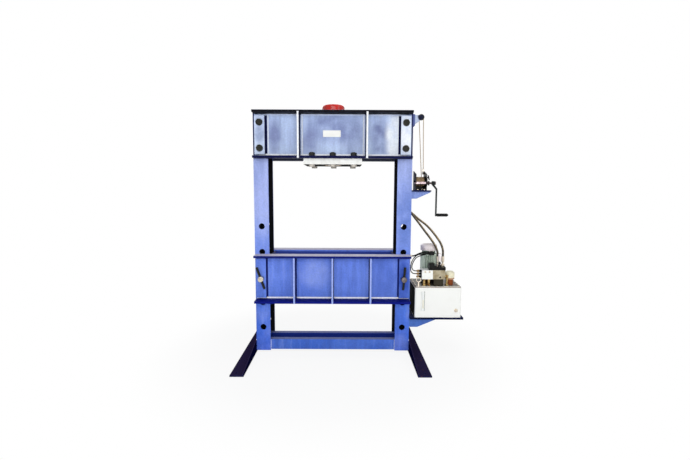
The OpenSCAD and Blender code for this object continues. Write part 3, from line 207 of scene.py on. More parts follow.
def machine_enamel(name, stops, sides, cloud, cloud_amount, marks=(), smudges=(), top=None, rust=0.0,
                   specular=0.08):
    """Sprayed alkyd machine enamel on plate steel: a satin skin with orange peel, its broad faces pale with
    painted light and its narrow ones in the sides colour as painted shade, clouded by dust and rubbed thin on
    the edges.
    Stops are colours by height in millimetres. A smudge is an ellipsoid of another colour; marks repeat
    in all four quarters, smudges front and back. Top is the colour of upward faces above a height, painted
    light on what faces up."""
    material, tree, place = blank_material(name)
    mirrored = add(tree, "ShaderNodeVectorMath", {0: place}, operation="ABSOLUTE")
    depth = add(tree, "ShaderNodeSeparateXYZ", {0: mirrored}).outputs["Y"]
    axes = add(tree, "ShaderNodeSeparateXYZ", {0: place}).outputs
    two_sided = add(tree, "ShaderNodeCombineXYZ", {"X": axes["X"], "Y": depth, "Z": axes["Z"]})
    height = add(tree, "ShaderNodeMath", {0: axes["Z"], 1: RAMP_HEIGHT}, operation="DIVIDE")
    lit_face_colour = add(tree, "ShaderNodeValToRGB", {0: height})
    levels = lit_face_colour.color_ramp.elements
    while len(levels) < len(stops):
        levels.new(0.5)
    for stop, (level, tint) in zip(levels, stops):
        stop.position, stop.color = mm(level) / RAMP_HEIGHT, linear(tint) if isinstance(tint, str) else tint
    # Dust lies in clouds about 190 mm wide
    coats = [(uneven_cover(tree, place, 190, 0.4, 0.68, most=cloud_amount), cloud)]
    # Rain and wiping leave streaks about 45 mm wide and ten times as long, pale above 0 and dark below
    tall = add(tree, "ShaderNodeMapping", {"Vector": place, "Scale": (1.0, 1.0, 0.1)})
    streaks = uneven_cover(tree, tall, 45, 0.3, 0.7, -0.2, 0.08, detail=3.0, rough=0.55, soft=False)
    pale_run = add(tree, "ShaderNodeMath", {0: streaks, 1: 0.0}, operation="MAXIMUM")
    dark_run = add(tree, "ShaderNodeMath", {0: streaks, 1: -1.4}, operation="MULTIPLY", use_clamp=True)
    coats += [(pale_run, "#dfe7ff"), (dark_run, "#3d4c8c")]
    # Smudges are torn into patches about 110 mm wide
    for centre, half, tint, amount in smudges:
        ball = inside_ball(tree, two_sided, centre, half)
        torn = uneven_cover(tree, place, 110, 0.25, 0.65, 0.35 * amount, amount, soft=False)
        coats.append((add(tree, "ShaderNodeMath", {0: ball, 1: torn}, operation="MULTIPLY"), tint))
    # Broad faces look along Y and keep the painted light of the height ramp; the others keep the sides
    # colour, painted shade
    true = add(tree, "ShaderNodeNewGeometry").outputs["True Normal"]
    facing = add(tree, "ShaderNodeVectorMath", {0: true}, operation="ABSOLUTE")
    facing = add(tree, "ShaderNodeSeparateXYZ", {0: facing}).outputs["Y"]
    broad = add(tree, "ShaderNodeMapRange", {"Value": facing, "From Min": 0.35, "From Max": 0.8})
    lit_face_colour = lay_coats(tree, lit_face_colour, coats)
    colour = add(tree, "ShaderNodeMix", {"Factor": broad, "A": linear(sides), "B": lit_face_colour})
    coats = mark_coats(tree, mirrored, marks)
    # Upward faces above the level get the top colour: painted light on what faces up
    if top is not None:
        level, tint, amount = top
        up = add(tree, "ShaderNodeSeparateXYZ", {0: true}).outputs["Z"]
        up = add(tree, "ShaderNodeMapRange", interpolation_type="LINEAR",
                 inputs={"Value": up, "From Min": 0.6, "From Max": 0.9, "To Max": amount})
        above = add(tree, "ShaderNodeMath", {0: axes["Z"], 1: mm(level)}, operation="GREATER_THAN")
        coats.append((add(tree, "ShaderNodeMath", {0: up, 1: above}, operation="MULTIPLY"), tint))
    # Rust blooms about 30 mm wide
    coats.append((uneven_cover(tree, place, 30, 0.6, 0.74, most=rust, detail=4.0, rough=0.65), "#5a3a34"))
    colour = lay_coats(tree, colour, coats)
    # Overspray and handling marks, about 14 mm across
    smears = uneven_cover(tree, place, 14, 0.3, 0.75, 0.9, 1.06, detail=4.0, rough=0.6)
    smears = add(tree, "ShaderNodeCombineColor", {0: smears, 1: smears, 2: smears})
    colour = add(tree, "ShaderNodeMix", {"Factor": 1.0, "A": colour, "B": smears}, blend_type="MULTIPLY")
    # Edges are rubbed in patches about 9 mm wide
    edge, rounded = worn_edges(tree, 2.0)
    rubbed = uneven_cover(tree, place, 9, 0.5, 0.62, most=0.22, detail=3.0)
    chipped = add(tree, "ShaderNodeMath", {0: edge, 1: rubbed}, operation="MULTIPLY")
    colour = lay_coats(tree, colour, [(chipped, "#b4bfe4")])
    gloss = uneven_cover(tree, place, 60, 0.3, 0.7, 0.55, 0.7, soft=False)
    # Orange peel is about 2 mm wide; drawn at 5 mm so that it shows
    peel = add(tree, "ShaderNodeTexNoise", {"Vector": place, "Scale": per(5), "Detail": 1.0})
    normal = add(tree, "ShaderNodeBump",
                 {"Height": peel, "Distance": mm(0.25), "Strength": 0.25, "Normal": rounded})
    return close_material(material, "ShaderNodeBsdfPrincipled",
                          {"Base Color": colour, "Roughness": gloss, "IOR": 1.5,
                           "Specular IOR Level": specular, "Normal": normal})


def coloured_skin(name, base, dirt, dirt_amount, roughness, metallic=0.0, grain_mm=30, peel_mm=5.0,
                  peel_depth=0.12, edge_tint=None, ior=1.5, specular=0.35, marks=(), gaps=None):
    """Paint, plastic or rubber of one colour with dirt clouds, a surface grain and rubbed edges. Its marks
    are dull. Shaded gaps are the bottoms between ribs round an upright axis, in painted shade: its x and y,
    the radius of the bottoms, that of the crests, and the shade's colour."""
    material, tree, place = blank_material(name)
    dirty = uneven_cover(tree, place, grain_mm, 0.42, 0.75, most=dirt_amount, detail=4.0, rough=0.6)
    dull = mark_coats(tree, place, marks)
    coats = [(dirty, dirt)] + dull
    if gaps is not None:
        # The bottoms between the ribs are painted shade
        x, y, bottom, crest, tint = gaps
        flat = add(tree, "ShaderNodeVectorMath", {0: place, 1: (1, 1, 0)}, operation="MULTIPLY")
        out = add(tree, "ShaderNodeVectorMath", {0: flat, 1: mm(x, y, 0)}, operation="DISTANCE")
        deep = add(tree, "ShaderNodeMapRange",
                   {"Value": out.outputs["Value"], "From Min": mm(crest), "From Max": mm(bottom)})
        coats.append((deep, tint))
    edge, rounded = worn_edges(tree, 1.2)
    if edge_tint is not None:
        coats.append((add(tree, "ShaderNodeMath", {0: edge, 1: 0.6}, operation="MULTIPLY"), edge_tint))
    colour = lay_coats(tree, linear(base) if isinstance(base, str) else base, coats)
    gloss = uneven_cover(tree, place, grain_mm * 0.7, 0.3, 0.7, roughness * 0.85, roughness * 1.15,
                         soft=False)
    for cover, _ in dull:
        gloss = add(tree, "ShaderNodeMath", {0: gloss, 1: cover}, operation="MAXIMUM")
    peel = add(tree, "ShaderNodeTexNoise", {"Vector": place, "Scale": per(peel_mm), "Detail": 1.0})
    normal = add(tree, "ShaderNodeBump",
                 {"Height": peel, "Distance": mm(peel_depth), "Strength": 0.3, "Normal": rounded})
    inputs = {"Base Color": colour, "Roughness": gloss, "Metallic": metallic, "Normal": normal}
    if metallic < 0.5:
        inputs.update({"IOR": ior, "Specular IOR Level": specular})
    return close_material(material, "ShaderNodeBsdfPrincipled", inputs)


def turned_steel(name, base, shade, roughness, axis="Z", marks=()):
    """Lathe-turned or ground metal: fine rings along the axis that stretch its highlights, and oily patches
    about 35 mm wide."""
    material, tree, place = blank_material(name)
    # Turning marks are about 0.2 mm apart; drawn 10 mm apart so that they show, as the node's waves are
    # 2 pi / 20 of a unit long
    rings = add(tree, "ShaderNodeTexWave", {"Vector": place, "Scale": per(1.6) / 20, "Distortion": 0.4},
                bands_direction=axis).outputs["Fac"]
    oily = uneven_cover(tree, place, 35, 0.35, 0.7, detail=3.0)
    colour = lay_coats(tree, linear(base), [(oily, shade)] + mark_coats(tree, place, marks))
    rounded = add(tree, "ShaderNodeBevel", {"Radius": mm(1)}, samples=4)
    gloss = add(tree, "ShaderNodeMapRange", {"Value": oily, "To Min": roughness, "To Max": roughness + 0.12},
                interpolation_type="LINEAR")
    normal = add(tree, "ShaderNodeBump",
                 {"Height": rings, "Distance": mm(0.06), "Strength": 0.25, "Normal": rounded})
    return close_material(material, "ShaderNodeBsdfPrincipled",
                          {"Base Color": colour, "Roughness": gloss, "Metallic": 1.0, "Normal": normal})


def rope_wire():
    """Galvanised wire rope: dull zinc wires with grease and dust in the lay between the strands."""
    material, tree, place = blank_material("galvanised_wire_rope")
    lay = add(tree, "ShaderNodeAttribute", attribute_name="lay").outputs["Fac"]
    grease = uneven_cover(tree, place, 12, 0.35, 0.7, 0.2, 0.8, detail=3.0)
    groove = add(tree, "ShaderNodeMapRange", {"Value": lay, "From Min": 0.45, "From Max": 0.0, "To Max": 0.8})
    colour = lay_coats(tree, linear("#b49a74"), [(grease, "#7d684a"), (groove, "#2a2219")])
    # Single wires are about 0.4 mm; drawn at 1 mm so that they show
    wires = add(tree, "ShaderNodeTexNoise", {"Vector": place, "Scale": per(1), "Detail": 1.0})
    normal = add(tree, "ShaderNodeBump", {"Height": wires, "Distance": mm(0.1), "Strength": 0.4})
    return close_material(material, "ShaderNodeBsdfPrincipled",
                          {"Base Color": colour, "Metallic": 0.35, "Roughness": 0.45, "Normal": normal})


def hose_cover():
    """Cloth-marked rubber cover of a wire-braided hydraulic hose: dull black, a fine crossed weave pressed
    into it, and a tan painted highlight, in patches, on what faces up."""
    material, tree, place = blank_material("hydraulic_hose_cover")
    strip = add(tree, "ShaderNodeUVMap", uv_map="along")
    # The cloth's threads are about 1 mm apart; drawn 7 to 8 mm apart so that they show
    weave = add(tree, "ShaderNodeTexBrick",
                {"Vector": strip, "Scale": 1.0, "Mortar Size": 0.06, "Brick Width": 0.125,
                 "Row Height": WEAVE_ROW, "Color1": (1, 1, 1, 1), "Color2": (0.7, 0.7, 0.7, 1),
                 "Mortar": (0, 0, 0, 1)})
    # Tan on what faces up is a painted highlight in patches
    up = add(tree, "ShaderNodeNewGeometry").outputs["Normal"]
    up = add(tree, "ShaderNodeSeparateXYZ", {0: up}).outputs["Z"]
    up = add(tree, "ShaderNodeMapRange", {"Value": up, "From Min": -0.1, "From Max": 0.6})
    highlight_patches = uneven_cover(tree, place, 20, 0.25, 0.6, most=0.85, detail=3.0)
    upward_highlight = add(tree, "ShaderNodeMath", {0: up, 1: highlight_patches}, operation="MULTIPLY")
    colour = lay_coats(tree, linear("#191714"), [(upward_highlight, "#b99e70")])
    normal = add(tree, "ShaderNodeBump", {"Height": weave, "Distance": mm(0.3), "Strength": 0.35})
    return close_material(material, "ShaderNodeBsdfPrincipled",
                          {"Base Color": colour, "Roughness": 0.48, "IOR": 1.5, "Specular IOR Level": 0.35,
                           "Normal": normal})


def make_finishes(colours):
    """Every finish by its name. Places in marks and smudges are in millimetres."""
    blue, skin, metal = machine_enamel, coloured_skin, turned_steel
    navy, black_navy, pale, deep, rubbed = "#080d3c", "#07060f", "#f4f7fb", "#0c1868", "#b9b2a4"
    # Flanges, near-black and navy, partly painted shade on their undersides; rib noses; end pads; painted
    # shadow on the web beside the pads; pale lines beside the pads and ribs; painted shade on the inner
    # faces; the welds along the flanges with a painted highlight
    head_marks = [
        ((320, 182, 1998), (325, 54, 9), black_navy, 1.0),
        ((320, 182, 1644), (325, 54, 10), navy, 1.0),
        ((273, 235, 1815), (7.6, 6, 181), pale, 1.0),
        ((588, 163, 1822), (41.5, 1.5, 155), "#e6edfa", 0.3),
        ((540, 127, 1822), (8, 1.5, 166), navy, 1.0),
        ((524, 127, 1822), (5, 1.5, 158), "#eef4ff", 0.7),
        ((249, 127, 1822), (6, 1.5, 158), "#eef4ff", 0.7),
        ((320, 60, 1820), (330, 57, 190), "#0a0a1c", 0.95),
        ((300, 127, 1665), (300, 1.6, 8), "#f4f8ff", 0.95),
        ((300, 127, 1983), (300, 1.6, 5), "#d3def8", 0.6),
    ]
    head_smudges = [
        ((-480, 127, 1810), (90, 40, 190), "#7078aa", 0.75),
        ((385, 127, 1815), (110, 40, 215), "#6c75a4", 0.95),
        ((20, 127, 1890), (330, 40, 170), "#6f7ab0", 0.75),
        ((160, 127, 1790), (150, 40, 200), "#7a84b4", 0.55),
        ((-190, 127, 1760), (110, 40, 150), "#7d87b6", 0.8),
        ((500, 127, 1815), (100, 40, 280), "#eef5ff", 1.3),
        ((-588, 163, 1830), (60, 40, 95), "#7288bc", 1.2),
        ((588, 163, 1822), (70, 40, 230), "#f2f7ff", 1.4),
    ]
    # Lower flange, navy, painted shade; upper flange edge; rib noses; painted shadow beside the pads; a
    # painted highlight on the weld along the foot; painted shade on the inner faces
    bed_marks = [
        ((325, 182, 463), (330, 54, 11), "#041278", 1.0),
        ((325, 232, 841), (330, 4, 8.5), "#0f1a6c", 1.0),
        ((156, 235, 644), (163.6, 1.6, 190), "#a3b4f0", 0.9),
        ((550, 127, 652), (8, 1.5, 180), "#0a1666", 0.95),
        ((325, 127, 480), (330, 1.6, 5.5), "#ffffff", 1.0),
        ((320, 60, 650), (330, 57, 186), "#2a3c96", 0.9),
    ]
    bed_smudges = [
        ((-150, 127, 690), (170, 40, 170), "#93a8f2", 0.8),
        ((440, 127, 650), (150, 40, 260), "#5470cc", 0.8),
        ((590, 163, 610), (80, 40, 300), "#3a58b8", 1.1),
    ]
    # The uprights' insides in painted shade, the head's shadow line on them, and the shelf edges of the
    # brackets
    upright_marks = [((560, 0, 1010), (78.5, 103.4, 1010), "#08080f", 1.0),
                     ((643, 115, 1820), (8, 2, 184), "#0d1250", 0.95)]
    # Painted light on the left upright and painted shade on the right
    upright_light_and_shade = [((-580, 115, 1250), (130, 60, 330), "#b0bcf2", 0.8),
                       ((600, 115, 1150), (130, 60, 380), "#6781cc", 0.9)]
    bracket_marks = [((880, 165, 314), (240, 2, 9), "#050d30", 1.0),
                     ((740, 0, 1379), (100, 200, 6), "#0a1140", 1.0),
                     ((661, 30, 1958), (12, 60, 50), "#3a4a90", 0.8)]
    # Beads beside the ribs and along the bed's upper flange are painted as dark as those, painted shade
    weld_marks = [((266, 127, 1820), (9, 12, 172), navy, 1.0), ((305, 127, 650), (9, 12, 184), navy, 1.0),
                  ((0, 127, 650), (14, 12, 184), navy, 1.0), ((300, 127, 832), (300, 12, 9), "#1b2a80", 1.0)]
    return {
        "upright": blue(
            "sprayed_blue_upright",
            [(15, colours.low), (450, "#567ee6"), (900, "#7e99ee"), (1500, "#a6b6f0"), (1950, "#b8c4f2")],
            "#3f5fc4", "#b9c6ff", 0.2, upright_marks, upright_light_and_shade),
        "head": blue("sprayed_blue_head", [(1636, "#cbdeff"), (2008, "#c3d7ff")], navy, "#aebfee", 0.4,
                     head_marks, head_smudges),
        # Painted light on the tops of the bed's flanges
        "bed": blue("sprayed_blue_bed", [(455, "#6688ea"), (650, "#7494f6"), (850, "#6b8bf0")], deep,
                    "#5474dc", 0.4, bed_marks, bed_smudges, (840, "#dcd8ec", 0.9)),
        # Painted light on the feet's tops and painted shade on their sides, with rust
        "foot": blue("sprayed_navy_foot", [(0, "#1c1c40"), (110, "#222a70")], "#090b30", "#12122a", 0.5,
                     top=(2, "#30284a", 0.9), rust=0.95, specular=0.0),
        # Painted shade between the ties, and painted light on their tops
        "tie": blue("sprayed_blue_tie", [(20, "#3f66c6"), (108, "#4770d4")], deep, "#5e80d8", 0.4,
                    [((320, 60, 64), (330, 41, 60), "#132a8e", 0.9)], top=(100, "#aab4dc", 0.4)),
        "bracket": blue(
            "sprayed_blue_bracket",
            [(240, "#5076c8"), (320, "#5076c8"), (1400, "#7d92d4"), (1950, "#c6d2ea")],
            "#0e1544", "#93a4d8", 0.3, bracket_marks, [((732, 45, 1986), (40, 60, 40), "#1d2136", 2.6)]),
        # The beads are pale, a painted highlight where they catch the light
        "weld": blue("painted_weld_bead", [(455, "#e2e9fb"), (1990, "#e2e9fb")], "#d4def8", "#b4c2ec", 0.3,
                     weld_marks),
        "barrel": blue("sprayed_blue_barrel", [(1600, "#7f92d6"), (2008, "#8a9cda")], "#7f92d6", "#93a4d8",
                       0.3),
        # The plate's underside and the tank's side towards the upright are painted near-black: painted shade
        "plate_paint": skin("white_plate_enamel", colours.white, "#cfcdc8", 0.35, 0.4, grain_mm=40,
                            edge_tint=rubbed, specular=0.15,
                            marks=[((0, 0, 1587), (400, 300, 1.2), "#12100d", 1.0)]),
        "white_paint": skin("white_stove_enamel", colours.white, "#e6e6e0", 0.25, 0.4, grain_mm=90,
                            edge_tint=rubbed, specular=0.2,
                            marks=[((686.5, 0, 450), (1.2, 159, 124), "#0c0b0a", 1.0)]),
        # The lid is dark grey with darker clouds, painted shade from the parts on it; its front strip is
        # pale, painted light, and its filler neck is rusty
        "lid_paint": skin("shaded_lid_enamel", "#625e54", "#17150f", 0.95, 0.35, grain_mm=60,
                          edge_tint="#b8b6ac", specular=0.15,
                          marks=[((882, -150, 580), (185, 24, 12), "#eceae4", 0.85),
                                 ((997, -60, 607), (45, 45, 22.4), "#8f4a22", 0.9)]),
        "red_paint": skin("red_gloss_enamel", colours.red, "#7c140e", 0.6, 0.14, grain_mm=40),
        "bright_steel": metal("turned_steel", "#cfc6b4", "#9a8f7c", 0.26),
        "oiled_pin": metal("oiled_pin_steel", "#857b79", "#4a4646", 0.34),
        # Heads under the cylinder plate are pale; the pale edges are wear and partly a painted highlight on
        # the facets
        "black_bolt": skin("black_oxide_steel", "#161712", "#38362a", 0.6, 0.5, grain_mm=10,
                           edge_tint="#8d927f", specular=0.15,
                           marks=[((0, 0, 1578), (260, 200, 9.6), "#cfc8be", 0.9)]),
        "bronze": metal("turned_bronze", "#b98a4e", "#8a6232", 0.32),
        "winch_black": skin("black_japan_enamel", "#0b0b0d", "#2c2622", 0.4, 0.4, grain_mm=16,
                            edge_tint="#3c3835", specular=0.12),
        "crank_steel": skin("oiled_black_steel", "#121818", "#28312f", 0.5, 0.4, grain_mm=16,
                            edge_tint="#4c5856", specular=0.12),
        # The shaft's outer end is nearly black
        "shaft_steel": metal("ground_shaft_steel", "#d9c9cd", "#a89096", 0.3, axis="X",
                             marks=[((821, -104, 1443), (49, 30, 30), "#2c2022", 0.92)]),
        "zinc": skin("yellow_zinc_plate", "#d2c8b4", "#a98fa6", 0.5, 0.34, metallic=0.9, grain_mm=18,
                     edge_tint="#e4dccb"),
        # The bottoms between the fins are painted shade
        "motor_green": skin("grey_green_cast_paint", colours.motor, "#b9ccbb", 0.5, 0.45, grain_mm=25,
                            peel_mm=6, peel_depth=0.3, edge_tint="#f2f8f0", specular=0.15,
                            gaps=(832, 30, 58, 66, "#5f7263")),
        "cowl": skin("white_pressed_cowl", "#efe6e6", "#c0a9a2", 0.5, 0.4, edge_tint="#8a6a58"),
        # The manifold's foot is nearly black: a black foot, with painted shade under the block
        "manifold_steel": metal("ground_steel_block", "#a39a84", "#82775f", 0.4, axis="X",
                                marks=[((886, -105, 614), (60, 60, 31), "#26241e", 0.95)]),
        "brass": metal("machined_brass", "#b39a66", "#6a4524", 0.36, axis="X"),
        # The filler cap's skirt is stained
        "cream_plastic": skin("cream_moulded_plastic", "#eee9cf", "#b0a98b", 0.45, 0.4, grain_mm=22,
                              edge_tint="#f4f1de", ior=1.46,
                              marks=[((997, -60, 630), (60, 60, 14), "#a8643a", 0.8)]),
        # The switches' ends are tan
        "black_plastic": skin("black_moulded_plastic", "#0d0e0f", "#2a2a26", 0.5, 0.5, grain_mm=14,
                              edge_tint="#3a3c40", ior=1.46, specular=0.15,
                              marks=[((714, -105, 684), (10, 14, 40), "#a8875a", 0.9)]),
        "white_plastic": skin("white_moulded_plastic", "#f3eeee", "#d6a9a4", 0.4, 0.35, grain_mm=24,
                              ior=1.46),
        # The gauge's tube of oil and its shaded side
        "gauge_plastic": skin("clear_gauge_plastic", "#f3f5f3", "#d8dcd8", 0.5, 0.25, grain_mm=20, ior=1.49,
                              marks=[((755, -171, 432), (5.2, 6, 44), "#eee9cf", 0.7),
                                     ((766.5, -169, 464), (2.2, 11, 82), "#5f6360", 0.8)]),
        "seal_rubber": skin("nitrile_rubber", "#1a1a1a", "#2c2c2c", 0.5, 0.6, grain_mm=8),
        "sealant": skin("brown_jointing_compound", "#8a7566", "#5f4c40", 0.6, 0.55, grain_mm=12),
        "wire_rope": rope_wire(),
        "hose_rubber": hose_cover(),
        "lead_rubber": skin("black_cable_sheath", "#060607", "#201f1c", 0.4, 0.42, grain_mm=12,
                            specular=0.12),
    }


# Which finish each CAD node wears, besides those that a piece replaces
FINISH_OF = {
    "upright": ["left_upright", "right_upright"],
    "head": ["head_front_beam", "head_rear_beam"],
    "bed": ["bed_front_beam", "bed_rear_beam", "bed_ties"],
    "foot": ["left_foot", "right_foot"],
    "tie": ["lower_ties"],
    "bracket": ["sheave_bracket", "winch_bracket", "tank_bracket"],
    "barrel": ["cylinder_barrel"],
    "black_bolt": ["frame_bolts", "left_pin_bar", "right_pin_bar"],
    "bright_steel": ["left_pin", "ram", "piston", "ram_nose"],
    "oiled_pin": ["right_pin"],
    "plate_paint": ["cylinder_plate"],
    "white_paint": ["tank", "check_block"],
    "lid_paint": ["tank_lid"],
    "red_paint": ["cylinder_cap"],
    "bronze": ["gland_bush"],
    "seal_rubber": ["piston_seals"],
    "winch_black": ["sheave", "winch_frame", "drum", "ratchet_pawl", "bell_housing", "directional_valve",
                    "valve_lever"],
    "crank_steel": ["crank_arm"],
    "shaft_steel": ["pinion_shaft"],
    "zinc": ["rope_eye", "lifting_eye", "line_fittings"],
    "black_plastic": ["crank_grip", "terminal_box", "pressure_switches", "relief_knob"],
    "cream_plastic": ["filler_cap"],
    "gauge_plastic": ["level_gauge"],
    "manifold_steel": ["gear_pump", "manifold"],
    "motor_green": ["motor_body"],
    "cowl": ["fan_cowl"],
    "brass": ["block_unions"],
    "white_plastic": ["lever_grip"],
}


# Sizes and colours that a user would change

class PressSizes(bpy.types.PropertyGroup):
    hose: bpy.props.FloatProperty(name="Hose", description="Diameter of the hydraulic hoses",
                                  default=mm(18), unit="LENGTH")
    supply: bpy.props.FloatProperty(name="Supply cable", description="Diameter of the motor's supply cable",
                                    default=mm(12), unit="LENGTH")
    lead: bpy.props.FloatProperty(name="Switch lead", description="Diameter of the pressure switch leads",
                                  default=mm(8), unit="LENGTH")
    rope: bpy.props.FloatProperty(name="Wire rope", description="Diameter of the winch rope",
                                  default=mm(6), unit="LENGTH")
    bead: bpy.props.FloatProperty(name="Weld bead", description="Radius of the weld beads",
                                  default=mm(4.5), unit="LENGTH")
    ripple: bpy.props.FloatProperty(name="Weld ripple", description="Distance between a weld bead's ripples",
                                    default=mm(6), unit="LENGTH")
    floor: bpy.props.FloatProperty(name="Floor", description="Half width of the studio floor",
                                   default=12.0, unit="LENGTH")


class PressColours(bpy.types.PropertyGroup):
    low: bpy.props.FloatVectorProperty(name="Blue", description="Machine blue near the floor", size=4,
                                       subtype="COLOR", default=linear("#4169dc"))
    white: bpy.props.FloatVectorProperty(name="White", description="Stove enamel of tank and cylinder plate",
                                         size=4, subtype="COLOR", default=linear("#f3f4f1"))
    red: bpy.props.FloatVectorProperty(name="Red", description="Cylinder cap", size=4, subtype="COLOR",
                                       default=linear("#d01d12"))
    motor: bpy.props.FloatVectorProperty(name="Motor", description="Grey-green of the motor", size=4,
                                         subtype="COLOR", default=linear("#e2efe2"))


# Meshes

def new_piece(name, bm, materials, smooth=True):
    """A finished mesh object at the origin."""
    mesh = bpy.data.meshes.new(name)
    bm.to_mesh(mesh)
    bm.free()
    for polygon in mesh.polygons:
        polygon.use_smooth = smooth
    for material in materials:
        mesh.materials.append(material)
    made = bpy.data.objects.new(name, mesh)
    bpy.context.scene.collection.objects.link(made)
    return made


def dress(piece, slot, body="frame"):
    """Hangs the piece on the empty of the body that it rides on. The slot is not used."""
    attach(piece, body)


def grow(piece, tree, inputs):
    """Runs a Geometry Nodes tree on a piece with the named inputs, and keeps the result as its plain mesh."""
    modifier = piece.modifiers.new(tree.name, "NODES")
    modifier.node_group = tree
    for item in tree.interface.items_tree:
        if item.in_out == "INPUT" and item.name in inputs:
            modifier[item.identifier] = inputs[item.name]
    evaluated = piece.evaluated_get(bpy.context.evaluated_depsgraph_get())
    mesh = bpy.data.meshes.new_from_object(evaluated)
    piece.modifiers.clear()
    piece.data = mesh


def new_growth(name, sizes):
    """An empty Geometry Nodes tree with a mesh in, a mesh out, its named sizes and a finish."""
    tree = bpy.data.node_groups.new(name, "GeometryNodeTree")
    tree.interface.new_socket(name="Geometry", in_out="INPUT", socket_type="NodeSocketGeometry")
    for size in sizes:
        tree.interface.new_socket(name=size, in_out="INPUT", socket_type="NodeSocketFloat")
    tree.interface.new_socket(name="Finish", in_out="INPUT", socket_type="NodeSocketMaterial")
    tree.interface.new_socket(name="Geometry", in_out="OUTPUT", socket_type="NodeSocketGeometry")
    return tree, add(tree, "NodeGroupInput").outputs


def end_growth(tree, geometry, finish):
    plain = add(tree, "GeometryNodeRealizeInstances", {"Geometry": geometry})
    dressed = add(tree, "GeometryNodeSetMaterial", {"Geometry": plain, "Material": finish})
    add(tree, "NodeGroupOutput", {"Geometry": dressed})


def weld_growth():
    """Overlapping ripples along every edge of the mesh, as a hand-held torch leaves them."""
    tree, given = new_growth("weld_bead", ("Bead radius", "Ripple"))
    path = add(tree, "GeometryNodeMeshToCurve", {"Mesh": given["Geometry"]})
    path = add(tree, "GeometryNodeResampleCurve", {"Curve": path, "Length": given["Ripple"]}, mode="LENGTH")
    ripple = add(tree, "GeometryNodeMeshUVSphere",
                 {"Segments": 8, "Rings": 5, "Radius": given["Bead radius"]})
    heading = add(tree, "GeometryNodeInputTangent")
    heading = add(tree, "FunctionNodeAlignRotationToVector", {"Vector": heading})
    uneven = add(tree, "FunctionNodeRandomValue", {"Min": 0.85, "Max": 1.1, "Seed": 7}, data_type="FLOAT")
    beads = add(tree, "GeometryNodeInstanceOnPoints",
                {"Points": path, "Instance": ripple, "Rotation": heading, "Scale": uneven})
    smooth = add(tree, "GeometryNodeRealizeInstances", {"Geometry": beads})
    smooth = add(tree, "GeometryNodeSetShadeSmooth", {0: smooth})
    end_growth(tree, smooth, given["Finish"])
    return tree


def screw_growth(sides):
    """A chamfered head on a washer at every vertex, standing along the vertex's axis."""
    tree, given = new_growth("screw_head", ("Head radius", "Head height", "Washer radius"))
    radius, rim = given["Head radius"], given["Washer radius"]
    straight, chamfer, narrow, thin = (
        add(tree, "ShaderNodeMath", {0: given[size], 1: share}, operation="MULTIPLY") for size, share in (
            ("Head height", 0.75), ("Head height", 0.25), ("Head radius", 0.8), ("Head height", 0.2)))
    body, top, washer = (
        add(tree, "GeometryNodeMeshCone",
            {"Vertices": corners, "Radius Top": upper, "Radius Bottom": lower, "Depth": depth})
        for corners, upper, lower, depth in (
            (sides, radius, radius, straight), (sides, narrow, radius, chamfer), (20, rim, rim, thin)))
    lift = add(tree, "ShaderNodeCombineXYZ", {"Z": straight})
    top = add(tree, "GeometryNodeTransform", {"Geometry": top, "Translation": lift})
    head = add(tree, "GeometryNodeJoinGeometry", {"Geometry": body})
    for part in (top, washer):
        tree.links.new(part.outputs[0], head.inputs[0])
    axis = add(tree, "GeometryNodeInputNamedAttribute", {"Name": "axis"}, data_type="FLOAT_VECTOR")
    stand = add(tree, "FunctionNodeAlignRotationToVector", {"Vector": axis}, axis="Z")
    points = add(tree, "GeometryNodeMeshToPoints", {"Mesh": given["Geometry"]})
    heads = add(tree, "GeometryNodeInstanceOnPoints", {"Points": points, "Instance": head, "Rotation": stand})
    end_growth(tree, heads, given["Finish"])
    return tree


def seams(lines):
    """A mesh of bare edges, one for each line between two places in millimetres."""
    bm = bmesh.new()
    for first, second in lines:
        bm.edges.new((bm.verts.new(mm(*first)), bm.verts.new(mm(*second))))
    return bm


def studs(places):
    """A mesh of bare vertices that carry an axis, from pairs of place and axis."""
    bm = bmesh.new()
    axis = bm.verts.layers.float_vector.new("axis")
    for place, direction in places:
        bm.verts.new(mm(*place))[axis] = Vector(direction)
    return bm


def smooth_route(points):
    """One smooth centripetal curve through the points, in metres, with eight steps from one to the next."""
    steps, pts = 8, [mm(*p) for p in points]
    ends = [2 * pts[0] - pts[1]] + pts + [2 * pts[-1] - pts[-2]]
    route = []
    for a, b, c, d in zip(ends, ends[1:], ends[2:], ends[3:]):
        times = [0.0]
        for first, second in ((a, b), (b, c), (c, d)):
            times.append(times[-1] + max((second - first).length, 1e-6) ** 0.5)
        t0, t1, t2, t3 = times
        for k in range(steps):
            t = t1 + (t2 - t1) * k / steps
            ab = a.lerp(b, (t - t0) / (t1 - t0))
            bc = b.lerp(c, (t - t1) / (t2 - t1))
            cd = c.lerp(d, (t - t2) / (t3 - t2))
            route.append(ab.lerp(bc, (t - t0) / (t2 - t0)).lerp(bc.lerp(cd, (t - t1) / (t3 - t1)),
                                                              (t - t1) / (t2 - t1)))
    return route + [pts[-1]]


def route_length(route):
    return sum((b - a).length for a, b in zip(route, route[1:]))


def even_route(route, gap):
    """The same curve with its points an even gap apart."""
    total = route_length(route)
    count = max(2, round(total / gap))
    walked, index, result = 0.0, 0, [route[0]]
    for k in range(1, count):
        wanted = total * k / count
        while walked + (route[index + 1] - route[index]).length < wanted:
            walked += (route[index + 1] - route[index]).length
            index += 1
        piece = route[index + 1] - route[index]
        result.append(route[index] + piece * ((wanted - walked) / piece.length))
    return result + [route[-1]]


